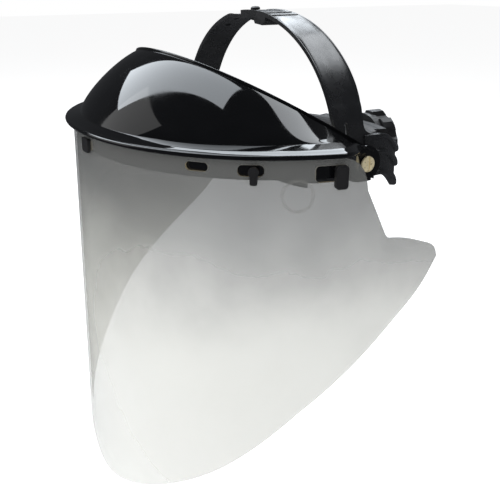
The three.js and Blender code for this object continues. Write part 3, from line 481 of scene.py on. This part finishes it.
def brushed_metal(name, dark, light, roughness, scale, metallic):
    """Metal with turned or tumbled marks."""
    s = Surface(name, Metallic=metallic, Roughness=roughness)
    marks = s.noise(scale, 6)
    s.link(s.blend(marks, dark, light), "Base Color")
    s.link(s.spread(marks, roughness - 0.08, roughness + 0.14, 0.3, 0.7), "Roughness")
    s.bump(marks, 0.12, 0.00015)
    return s.material


def leatherette():
    """Soft grained cover with scattered small perforations."""
    s = Surface("leatherette", Roughness=0.55, Sheen_Weight=0.15)
    grain = s.voronoi(650)
    holes = s.spread(s.voronoi(230), 0.0, 1.0, 0.10, 0.20)
    s.link(s.blend(grain, (0.010, 0.010, 0.011), (0.020, 0.0195, 0.020)), "Base Color")
    s.link(s.spread(s.noise(80, 4), 0.42, 0.68, 0.3, 0.7), "Roughness")
    s.bump(s.add(s.spread(grain, 0.0, 0.35), holes), 0.3, 0.0002)
    return s.material


def knit():
    """Dark knitted pad cover with crossed yarn ridges and sheen."""
    s = Surface("knit", Roughness=0.9, Sheen_Weight=0.4, Sheen_Roughness=0.6)
    inputs = {"Vector": s.place, "Scale": 260.0, "Distortion": 1.2}
    rows = [
        s.node("ShaderNodeTexWave", inputs, bands_direction=axis).outputs["Fac"] for axis in ("X", "Z")
    ]
    weave = s.add(rows[0], rows[1], "MULTIPLY")
    s.link(s.blend(weave, (0.02, 0.021, 0.024), (0.06, 0.062, 0.068)), "Base Color")
    s.bump(s.add(weave, s.noise(700, 2.0)), 0.5, 0.0004)
    return s.material


def studio_floor():
    """Near-white floor that gives off light, so that it runs into the background."""
    s = Surface("studio_floor", Roughness=0.8, Emission_Color=(1, 1, 1, 1), Emission_Strength=0.92)
    s.link(s.blend(s.noise(3), (0.42, 0.42, 0.42), (0.46, 0.46, 0.46)), "Base Color")
    return s.material


GLOSS = gloss_black()
FRAME = satin_black("frame_black", (0.006, 0.0063, 0.007), (0.013, 0.0135, 0.015), 0.24, 1500, 0.03)
SATIN = satin_black("satin_black", (0.006, 0.006, 0.0065), (0.012, 0.012, 0.013), 0.38, 1100, 0.06)
NYLON = satin_black("nylon_black", (0.02, 0.02, 0.02), (0.035, 0.034, 0.033), 0.55, 1300, 0.2)
CLEAR = window_clear()
EDGE = window_edge()
RELIEF = window_relief()
BRASS = brushed_metal("brass", (0.62, 0.52, 0.30), (0.86, 0.78, 0.56), 0.30, 420, 0.45)
STEEL = brushed_metal("steel", (0.38, 0.39, 0.41), (0.62, 0.63, 0.66), 0.34, 500, 0.9)
LEATHERETTE = leatherette()
KNIT = knit()

# ---------------------------------------------------------------- crown


def ring_point(oval, side, z, inset):
    x, y = oval_point(oval, math.pi / 2 - side, inset)
    return np.array([x, y, z])


def bezier(a, b, c, f):
    return a * (1 - f) ** 2 + b * 2 * f * (1 - f) + c * f * f


def brim_point(oval, angle, z, inset, corner, ear):
    """Point of an oval that near each side turns in round a soft corner to end on the ear."""
    side = min(angle, math.pi - angle)
    if side >= SIDE_TURN:
        point = ring_point(oval, side, z, inset)
    else:
        join = ring_point(oval, SIDE_TURN, z, inset)
        point = bezier(np.array(ear, dtype=float), np.array(corner, dtype=float), join, side / SIDE_TURN)
    return point * np.array([-1.0 if angle > math.pi / 2 else 1.0, 1, 1])


def rim_point(angle, inset):
    rise = power(math.sin(angle), 2 / RIM["exponent"]) * (1 - inset / RIM_DEPTH)
    return np.array([
        (RIM["half_width"] - inset) * power(math.cos(angle), 2 / RIM["exponent"]),
        mix(RIM["end"][0], RIM["peak"][0], rise),
        mix(RIM["end"][1], RIM["peak"][1], rise),
    ])


def dome_point(angle, inset, f):
    """Point of the dome, from the rear rim (f = 0) down to its foot (f = 1)."""
    foot_z = ROOT["z"] - inset * 0.7
    corner = (ROOT["corner"][0] - inset, ROOT["corner"][1], foot_z)
    foot = brim_point(ROOT, angle, foot_z, inset, corner, (EAR["face"] - inset, *EAR["root"]))
    top = rim_point(angle, inset)
    out = math.sin(f * math.pi / 2) ** DOME_EXPONENT
    down = 1 - max(math.cos(f * math.pi / 2), 0) ** DOME_EXPONENT
    return np.array([mix(top[0], foot[0], out), mix(top[1], foot[1], out), mix(top[2], foot[2], down)])


def bead_point(angle, f, turn):
    """Point of the rolled bead that runs along the rear rim."""
    point = dome_point(angle, 0, f)
    away = np.array([point[0], point[1], 0.0])
    away /= np.linalg.norm(away)
    return point + away * BEAD * 0.6 * turn + np.array([0, 0, BEAD * 0.8 * turn])


def lip_point(angle, inset, z, ear_z):
    corner = (LIP["corner"][0] - inset, LIP["corner"][1], z)
    return brim_point(LIP, angle, z, inset, corner, (EAR["face"], EAR["lip_y"], ear_z))


def skirt_point(angle, inset, z, ear_z):
    corner = (SKIRT["corner"][0] - inset, SKIRT["corner"][1], z)
    ear = (EAR["face"] - inset, EAR["skirt_y"], ear_z)
    return brim_point(WINDOW, angle, z, SKIRT_INSET + inset, corner, ear)


def crown_section(angle):
    """Outer and inner outline of the crown's section at an angle round the brow."""
    bead = [bead_point(angle, 0.085 * k / 8, math.sin(math.pi * k / 8) ** 0.7) for k in range(9)]
    dome = [dome_point(angle, 0, f) for f in np.linspace(0.10, 0.985, 30)]
    brim = lip_point(angle, 4.2, LIP["top"] + 0.75, 9.7)
    fillet = [bezier(dome[-1], dome_point(angle, 0, 1), brim, t) for t in (0.3, 0.6, 0.85)]
    ledge = [brim, lip_point(angle, 2.4, LIP["top"] + 0.12, 9.4)]
    middle, radius = (LIP["top"] + LIP["under"]) / 2, (LIP["top"] - LIP["under"]) / 2
    lip = [
        lip_point(angle, radius * (1 - math.sin(t)), middle + radius * math.cos(t), 9.0)
        for t in np.linspace(0, math.pi, 9)
    ]
    skirt = [
        skirt_point(angle, 0.0, z, ear_z)
        for z, ear_z in ((LIP["under"], 7.5), (8.0, 4.5), (SKIRT["bottom"], 1.0))
    ]
    outer = bead + dome + fillet + ledge + lip + skirt

    inner_dome = [dome_point(angle, SHELL, f) for f in np.linspace(0, 1, len(bead) + len(dome) + len(fillet))]
    inner_shoulder = [
        skirt_point(angle, SHELL + drop * 0.5, mix(11.0, 13.9, drop / 6), mix(7.6, 9.6, drop / 6))
        for drop in np.linspace(6, 0, len(ledge) + len(lip))
    ]
    inner_skirt = [
        skirt_point(angle, SHELL, z, ear_z) for z, ear_z in ((10.6, 7.5), (6.5, 4.5), (SKIRT["bottom"], 1.0))
    ]
    inner = inner_dome + inner_shoulder + inner_skirt
    return outer, inner


def ear_disc():
    """Round pivot ear with softened edges and a shallow recess under the screw head."""
    inner, outer, radius = EAR["inner"], EAR["outer"], EAR["radius"]
    recess = outer - 0.25
    return lathe_x([
        (0, inner), (radius - 0.4, inner), (radius, inner + 0.4), (radius, outer - 0.8),
        (radius - 0.25, outer - 0.25), (radius - 0.8, outer),
        (6.6, outer), (6.2, recess), (5.4, recess), (0, recess),
    ])


def build_crown():
    turn = np.linspace(0, SIDE_TURN, 14)
    middle = np.linspace(SIDE_TURN, math.pi - SIDE_TURN, 150)[1:-1]
    angles = np.concatenate([turn, middle, math.pi - turn[::-1]])
    sections = [crown_section(a) for a in angles]
    shell = loft([s[0] for s in sections], [s[1] for s in sections])
    ear = ear_disc()
    piece = make_piece("crown_moulding", *merged(shell, ear, mirrored(ear)), "visor", GLOSS)
    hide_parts("crown_shell")
    round_edges(piece, 0.35, 50)


# ---------------------------------------------------------------- window


def rounded_line(corners, steps=7):
    """Line through corner points, each corner rounded to its own radius."""
    line = [np.array(corners[0][:2], dtype=float)]
    for before, here, after in zip(corners, corners[1:], corners[2:]):
        p, q, r = (np.array(c[:2], dtype=float) for c in (before, here, after))
        start = q + (p - q) / np.linalg.norm(p - q) * here[2]
        end = q + (r - q) / np.linalg.norm(r - q) * here[2]
        line += [bezier(start, q, end, t) for t in np.linspace(0, 1, steps)]
    line.append(np.array(corners[-1][:2], dtype=float))
    return np.array(line)


def spline(points, steps=16):
    """Catmull-Rom line through the points, from the second to the last."""
    pts = [np.array(p, dtype=float) for p in points]
    pts.append(2 * pts[-1] - pts[-2])
    line = []
    for a, b, c, d in zip(pts, pts[1:], pts[2:], pts[3:]):
        for t in np.linspace(0, 1, steps, endpoint=False):
            line.append(0.5 * (2 * b + (c - a) * t + (2 * a - 5 * b + 4 * c - d) * t ** 2
                               + (3 * b - a - 3 * c + d) * t ** 3))
    return np.array(line)


def window_edges():
    """Function for the bottom and top edge heights, and the stations that follow their corners."""
    top = rounded_line(TOP_EDGE)
    low = np.concatenate([spline(LOW_EDGE), rounded_line(TIP_EDGE)])
    corners = [s for s in np.concatenate([top[:, 0], low[:, 0]]) if s > CORNERS_FROM]
    even = [*np.linspace(0, CORNERS_FROM, 90), *np.linspace(CORNERS_FROM, 239, 50)]
    half = np.unique(np.round([*even, *corners], 2))
    keep = [half[0]]
    for s in half[1:]:
        if s - keep[-1] > 0.22:
            keep.append(s)

    def edges(s):
        lower = float(np.interp(abs(s), low[:, 0], low[:, 1]))
        upper = float(np.interp(abs(s), top[:, 0], top[:, 1]))
        return (min(lower, upper - 0.4), upper)

    return edges, np.concatenate([-np.array(keep[:0:-1]), keep])


def slot_cutters():
    """Solids that cut the seven slots."""
    cutters = []
    for s, z, width, height, corner in SLOTS:
        for side in ((1, -1) if s else (1,)):
            origin, along, up, out = window_axes(s * side, z)

            def place(u, v, depth, origin=origin, along=along, up=up, out=out):
                return origin + along * u + up * v + out * depth

            cutters.append(prism(rounded_outline(width, height, corner), place, -4, 3))
    return merged(*cutters)


def embossed_ring(side):
    """Raised ring moulded into the sheet near the side."""
    ring = EMBOSSED_RING
    count = 72
    profile = [(-1, -0.2), (-0.6, 0.75), (0, 1), (0.6, 0.75), (1, -0.2)]
    columns = len(profile)
    verts = []
    for a in np.linspace(0, 2 * math.pi, count, endpoint=False):
        for across, lift in profile:
            radius = ring["radius"] + ring["width"] * across
            s, z = ring["s"] + radius * math.cos(a), ring["z"] + radius * math.sin(a)
            verts.append(window_point(s * side, z, ring["height"] * lift))
    verts = np.array(verts)
    faces = []
    for i in range(count):
        n = (i + 1) % count
        for j in range(columns):
            k = (j + 1) % columns
            faces.append((i * columns + j, n * columns + j, n * columns + k, i * columns + k))
    return verts, outward(verts, faces)


def build_window():
    edges, stations = window_edges()
    part = sheet(stations, np.linspace(0, 1, 9), edges, window_point, lambda s, f: (0, -WINDOW_THICKNESS))
    piece = make_piece("window_sheet", *part, "visor", CLEAR)
    cut(piece, slot_cutters(), EDGE)
    piece.visible_shadow = False
    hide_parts("window")
    for side, name in ((1, "left"), (-1, "right")):
        ring = make_piece(f"window_ring_{name}", *embossed_ring(side), "visor", RELIEF, 80)
        ring.visible_shadow = False


# ---------------------------------------------------------------- headgear


def strap_edges(s):
    """Front and back edge of the strap and temple plate at length s up the arch."""
    z = s + PLATE_BOTTOM
    centre = STRAP["centre"] - STRAP["lean"] * s / ARCH_APEX
    half = STRAP["width"] / 2 - 0.9 * (1 - smooth(s, 30, 80))
    foot = -math.sqrt(max(PLATE_BOTTOM ** 2 - min(z, 0) ** 2, 0.25))
    front = max(centre - half, foot - 5 * smooth(z, 0, 28))
    flare = 12 * (min(21 - z, 8) / 8) ** 3 if z < 21 else 0
    back = 9.0 if z < 13 else min(centre + half - 1.6 * (1 - smooth(z, 21, 40)) + flare, 16)
    return front, back


def arch_place(s, y, offset):
    x, z = arch_track.at(s, offset)
    return np.array([x, y, z])


def band_place(s, z, offset):
    x, y = band_track.at(s, offset)
    return np.array([x, y, z])


def strap_part(overlap, drop):
    """Strap half and temple plate, with a raised lip along both edges of the strap."""
    half = STRAP["thickness"] / 2

    def skin(s, f):
        shift = -drop * smooth(s, ARCH_APEX - 30, ARCH_APEX - 15)
        plate_step = 0.5 * smooth(s, 28, 32) * (1 - smooth(s, 43, 47))
        edge = min(f, 1 - f)
        lip = 0.35 * smooth(s, 50, 58) * (1 - smooth(edge, 0.03, 0.06))
        return half + shift + plate_step + lip, -half + shift

    stations = np.concatenate([np.linspace(0, 48, 60), np.linspace(48, ARCH_APEX + overlap, 110)[1:]])
    fractions = [0, 0.02, 0.045, 0.075, 0.2, 0.35, 0.5, 0.65, 0.8, 0.925, 0.955, 0.98, 1]
    return sheet(stations, fractions, strap_edges, arch_place, skin)


def rear_band_part():
    """Band from the temple to the ratchet housing, with rounded rails along it."""
    half = STRAP["thickness"] / 2 + 0.02
    end = band_track.length - BAND["rear"] * (HOUSING_HALF_ANGLE + math.radians(1))

    def edges(s):
        top = BAND["top"] - BAND_DROP["depth"] * smooth(s, BAND_DROP["start"], BAND_DROP["end"])
        return top - BAND["height"], top

    def skin(s, f):
        nearest = min(abs(f - place) for place in RAIL["places"])
        hump = max(0.0, 1 - (nearest / RAIL["half_width"]) ** 2) ** 0.5
        rail = RAIL["height"] * hump * smooth(s, 5, 16) * (1 - smooth(s, end - 12, end))
        return half + rail, -half

    return sheet(np.linspace(3, end, 120), np.linspace(0, 1, 93), edges, band_place, skin)


def rib_part(x):
    """Low rounded ridge across the strap."""
    middle, half = ARCH_APEX - x, STRAP_RIBS["half_width"]

    def edges(s):
        front, back = strap_edges(s)
        return front + STRAP_RIBS["inset"], back - STRAP_RIBS["inset"]

    def skin(s, f):
        rise = STRAP_RIBS["height"] * max(0, 1 - ((s - middle) / half) ** 2)
        return STRAP["thickness"] / 2 + rise, 0.2

    return sheet(np.linspace(middle - half, middle + half, 7), [0, 0.5, 1], edges, arch_place, skin)


def catch_part(drop):
    """Catch block under the end of the right strap half."""
    bottom = -drop - STRAP["thickness"] / 2 - CATCH["depth"]
    low, high = ARCH_APEX + CATCH["start"], ARCH_APEX + CATCH["end"]

    def edges(s):
        front, back = strap_edges(s)
        return front + CATCH["inset"], back - CATCH["inset"]

    def skin(s, f):
        round_off = smooth(s, low, low + 3.5) * (1 - smooth(s, high - 3.5, high))
        return -drop, mix(-drop - STRAP["thickness"] / 2, bottom, round_off)

    return sheet(np.linspace(low, high, 25), np.linspace(0, 1, 9), edges, arch_place, skin)


def frame_cutters(pins):
    """Slit in the temple plate and round holes for the pin, given as lengths past the apex."""
    slit_outline = rounded_outline(SLIT["width"], SLIT["height"], 1)
    cutters = [prism(slit_outline, lambda u, v, d: np.array([d, SLIT["y"] + u, SLIT["z"] + v]), 88, 100)]
    hole_outline = arc(0, 0, STRAP_HOLES["radius"], np.linspace(0, 2 * math.pi, 28, endpoint=False))
    for past in pins:
        here, ahead = arch_track.at(ARCH_APEX + past), arch_track.at(ARCH_APEX + past + 0.5)
        along = (ahead - here) / np.linalg.norm(ahead - here)
        out = np.array([along[1], -along[0]])

        def place(u, v, depth, here=here, along=along, out=out):
            x, z = here + along * v + out * depth
            return np.array([x, STRAP["centre"] - STRAP["lean"] + u, z])

        cutters.append(prism(hole_outline, place, -7, 5))
    return merged(*cutters)


def build_side_frame(side):
    """Strap half, temple plate and rear band of one side."""
    drop = STRAP["thickness"] + GAP
    if side == "left":
        parts = [strap_part(OVERLAP["left"], 0.0), *[rib_part(x) for x in STRAP_RIBS["places"]]]
        pins = [-STRAP_HOLES["pin_x"]]
    else:
        parts = [strap_part(OVERLAP["right"], drop), catch_part(drop)]
        pins = [STRAP_HOLES["pin_x"] - k * STRAP_HOLES["pitch"] for k in range(STRAP_HOLES["count"])]
    parts += [rear_band_part(), frame_cutters(pins)]
    if side == "right":
        parts = [mirrored(part) for part in parts]
    strap_mesh, *details, band_mesh, cutters = parts

    strap = make_piece(f"strap_{side}", *strap_mesh, "headgear", FRAME)
    cut(strap, cutters, FRAME)
    round_edges(strap, 0.5)
    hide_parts(f"side_frame_{side}")
    band = make_piece(f"rear_band_{side}", *band_mesh, "headgear", FRAME, 50)
    round_edges(band, 0.3, 50)
    for number, detail in enumerate(details, 1):
        make_piece(f"strap_{side}_detail_{number}", *detail, "headgear", FRAME, 60)


def brow_strip(reach, height, temple_height, skin, count, rows):
    """Strip that follows the brow and narrows towards the temples."""

    def edges(s):
        side = smooth(abs(s), 70, headband_track.length - 24)
        centre = mix(BROW["front_z"], BROW["temple_z"], side)
        tall = mix(height, temple_height, side)
        return centre - tall / 2, centre + tall / 2

    def place(s, z, out):
        x, y = headband_track.at(abs(s), out)
        return np.array([x if s >= 0 else -x, y, z])

    return sheet(np.linspace(-reach, reach, count), np.linspace(0, 1, rows), edges, place, skin)


def build_headband():
    """Plastic band with a low rib along both edges at the brow."""
    half = BROW["thickness"] / 2

    def skin(s, f):
        rib = 0.5 * (1 - smooth(min(f, 1 - f), 0.05, 0.09))
        return half + rib * (1 - smooth(abs(s), 110, 125)), -half

    reach = headband_track.length + BROW["overhang"]
    strip = brow_strip(reach, BROW["height"], BROW["temple_height"], skin, 201, 31)
    piece = make_piece("headband", *strip, "headgear", FRAME)
    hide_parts("front_headband")
    round_edges(piece, 0.5)


def build_sweatband():
    """Crowned pad round the brow with a sewn channel near each edge."""
    pad = SWEATBAND
    outer = -(BROW["thickness"] / 2) - GAP

    def skin(s, f):
        edge = min(f, 1 - f) * 2
        end = min(1.0, (pad["reach"] - abs(s)) / 7)
        crown = (1 - (1 - edge) ** 3.2) ** 0.5 * max(1 - (1 - end) ** 2, 0) ** 0.5
        seam = 0.9 * math.exp(-((min(f, 1 - f) - 0.11) / 0.022) ** 2)
        quilt = 0.25 * math.cos(s * 2 * math.pi / 29.5) * edge
        depth = 0.6 + (pad["thickness"] - 0.9 + quilt) * crown - seam
        return outer, outer - max(depth, 0.5)

    strip = brow_strip(pad["reach"], pad["height"], pad["temple_height"], skin, 241, 61)
    piece = make_piece("sweatband_pad", *strip, "headgear", LEATHERETTE, 60)
    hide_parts("sweatband")


def build_nape_pad():
    """Knitted pad with a soft edge and two sewn lines."""
    pad = NAPE_PAD
    thickness = pad["outer"] - pad["inner"]

    def place(angle, z, radius):
        return np.array([radius * math.sin(angle), REAR_Y + radius * math.cos(angle), z])

    def skin(angle, f):
        edge = min(f, 1 - f) * 2
        end = min(1.0, (pad["half_angle"] - abs(angle)) / 0.09)
        crown = (1 - (1 - edge) ** 3) ** 0.5 * max(1 - (1 - end) ** 3, 0) ** 0.5
        seam = 1.1 * math.exp(-((min(f, 1 - f) - 0.16) / 0.025) ** 2) * end
        return pad["outer"], pad["outer"] - max(0.7 + (thickness - 0.8) * crown - seam, 0.6)

    low, high = pad["z"] - pad["half_height"], pad["z"] + pad["half_height"]
    stations = np.linspace(-pad["half_angle"], pad["half_angle"], 101)
    part = sheet(stations, np.linspace(0, 1, 61), lambda a: (low, high), place, skin)
    piece = make_piece("nape_cushion", *part, "headgear", KNIT, 60)
    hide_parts("nape_pad")


def build_pivot_screw(side):
    """Slotted brass screw with a domed head."""
    head, shank, under, tail = SCREW["head"], SCREW["shank"], SCREW["under"], SCREW["tail"]
    rise = SCREW["top"] - SCREW["shoulder"]
    dome = [
        (head * math.sin(t), SCREW["shoulder"] + rise * math.cos(t)) for t in np.linspace(0, math.pi / 2, 10)
    ]
    neck = [(head, under + 0.4), (head - 0.3, under), (shank, under)]
    end = [(shank, tail + 0.5), (shank - 0.5, tail), (0, tail)]
    part = lathe_x(dome + neck + end, segments=64)
    slot_outline = rounded_outline(SCREW["slot"], 12, 0.1, 3)
    slot_part = prism(slot_outline, lambda u, v, d: np.array([d, u, v]), SCREW["top"] - 0.9, 107)
    if side == "right":
        part, slot_part = mirrored(part), mirrored(slot_part)
    piece = make_piece(f"pivot_screw_fine_{side}", *part, "headgear", BRASS)
    cut(piece, slot_part, BRASS)
    round_edges(piece, 0.15, 50)
    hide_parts(f"pivot_screw_{side}")


# ---------------------------------------------------------------- carried-over CAD nodes

def both(name):
    """Names of a left and right pair."""
    return [f"{name}_left", f"{name}_right"]


FITTINGS = ["front_stud", *both("lock_button"), *both("side_lever"), "strap_pin"]
RATCHET = ["ratchet_base", "ratchet_cover", "rack_left", "rack_right", "drive_pinion", "ratchet_knob"]
SMALL_STEEL = [
    *both("spring_washer"), *both("lock_nut"), "knob_screw", "detent_spring", *both("housing_screw"),
]
CARRIED = {SATIN: FITTINGS + RATCHET, NYLON: both("friction_washer"), STEEL: SMALL_STEEL}
EDGE_WIDTHS = {
    "ratchet_knob": 0.6, "ratchet_cover": 0.7, "front_stud": 0.4,
    **dict.fromkeys(both("side_lever"), 0.5), **dict.fromkeys(both("lock_button"), 0.4),
}


def dress_cad_nodes():
    """Materials and softened edges for the nodes that keep their CAD mesh."""
    for material, names in CARRIED.items():
        for name in names:
            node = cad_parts[name]
            for slot in node.material_slots:
                slot.material = material
            round_edges(node, EDGE_WIDTHS.get(name, 0.2))


# ---------------------------------------------------------------- studio


def aim(obj, target):
    """Turns a light or camera to face a point."""
    obj.rotation_euler = (Vector(target) - obj.location).to_track_quat("-Z", "Y").to_euler()


def direction(azimuth, elevation):
    """Unit vector from the object: azimuth 0 is straight ahead of it, 90 its left, in degrees."""
    turn, rise = math.radians(azimuth), math.radians(elevation)
    return Vector((math.sin(turn) * math.cos(rise), -math.cos(turn) * math.cos(rise), math.sin(rise)))


def softbox(name, azimuth, elevation, distance, size, radiance, color=(1, 1, 1), in_gloss=True):
    """Rectangular light of a given brightness that faces the object."""
    light = bpy.data.lights.new(name, "AREA")
    light.shape = "RECTANGLE"
    light.size, light.size_y = size
    light.energy = radiance * math.pi * size[0] * size[1]
    light.color = color
    obj = bpy.data.objects.new(name, light)
    obj.location = direction(azimuth, elevation) * distance
    obj.visible_glossy = in_gloss
    bpy.context.scene.collection.objects.link(obj)
    aim(obj, (0, 0, 0))


def build_world():
    """White behind the object and dim in everything it reflects."""
    world = bpy.data.worlds.new("studio")
    bpy.context.scene.world = world
    world.use_nodes = True
    tree = world.node_tree
    path = tree.nodes.new("ShaderNodeLightPath")
    level = tree.nodes.new("ShaderNodeMix")
    level.data_type = "RGBA"
    # Inputs 6 and 7 of a colour Mix node are its two colours, output 2 the result.
    level.inputs[6].default_value = (0.05, 0.052, 0.056, 1)
    level.inputs[7].default_value = (1, 1, 1, 1)
    tree.links.new(path.outputs["Is Camera Ray"], level.inputs[0])
    tree.links.new(level.outputs[2], tree.nodes["Background"].inputs["Color"])


def build_floor():
    """Plain pale floor a little below the object, left out of glossy reflections."""
    low = cad_box[0][2] - FLOOR["drop"] * MM
    half = FLOOR["half_width"] * MM
    corners = [(-half, -half, low), (half, -half, low), (half, half, low), (-half, half, low)]
    mesh = bpy.data.meshes.new("floor")
    mesh.from_pydata(corners, [], [(0, 1, 2, 3)])
    mesh.materials.append(studio_floor())
    floor = bpy.data.objects.new("floor", mesh)
    bpy.context.scene.collection.objects.link(floor)
    floor.visible_glossy = False


def build_lights():
    """Softboxes: four that show in the gloss, and two fills that only light the surfaces."""
    softbox("overhead", -70, 57, 1.3, (0.62, 1.6), 4.4, (0.88, 0.94, 1.0))
    softbox("behind", -170, 58, 1.3, (0.75, 0.5), 4.0, (0.92, 0.96, 1.0))
    softbox("rear_side", -122, 37, 1.3, (0.76, 0.5), 4.6, (0.88, 0.94, 1.0))
    softbox("front", -40, 22, 1.3, (0.8, 1.0), 0.7)
    softbox("fill_near", 68, 25, 1.6, (1.6, 1.6), 1.8, in_gloss=False)
    softbox("fill_front", -15, 25, 1.6, (1.6, 1.6), 1.8, in_gloss=False)


def build_camera():
    """Camera placed by its angles round the point it looks at."""
    camera = bpy.data.objects.new("camera", bpy.data.cameras.new("camera"))
    target = Vector(CAMERA["target"]) * MM
    camera.location = target + direction(CAMERA["azimuth"], CAMERA["elevation"]) * CAMERA["distance"] * MM
    aim(camera, target)
    camera.data.lens = CAMERA["lens"]
    camera.data.sensor_width = CAMERA["sensor"]
    camera.data.clip_start = CAMERA["clip"] * MM
    bpy.context.scene.collection.objects.link(camera)
    bpy.context.scene.camera = camera
    bpy.context.scene.view_settings.view_transform = "Standard"


# ---------------------------------------------------------------- assembly

build_crown()
build_window()
for side in ("left", "right"):
    build_side_frame(side)
    build_pivot_screw(side)
build_headband()
build_sweatband()
build_nape_pad()
dress_cad_nodes()
build_world()
build_floor()
build_lights()
build_camera()
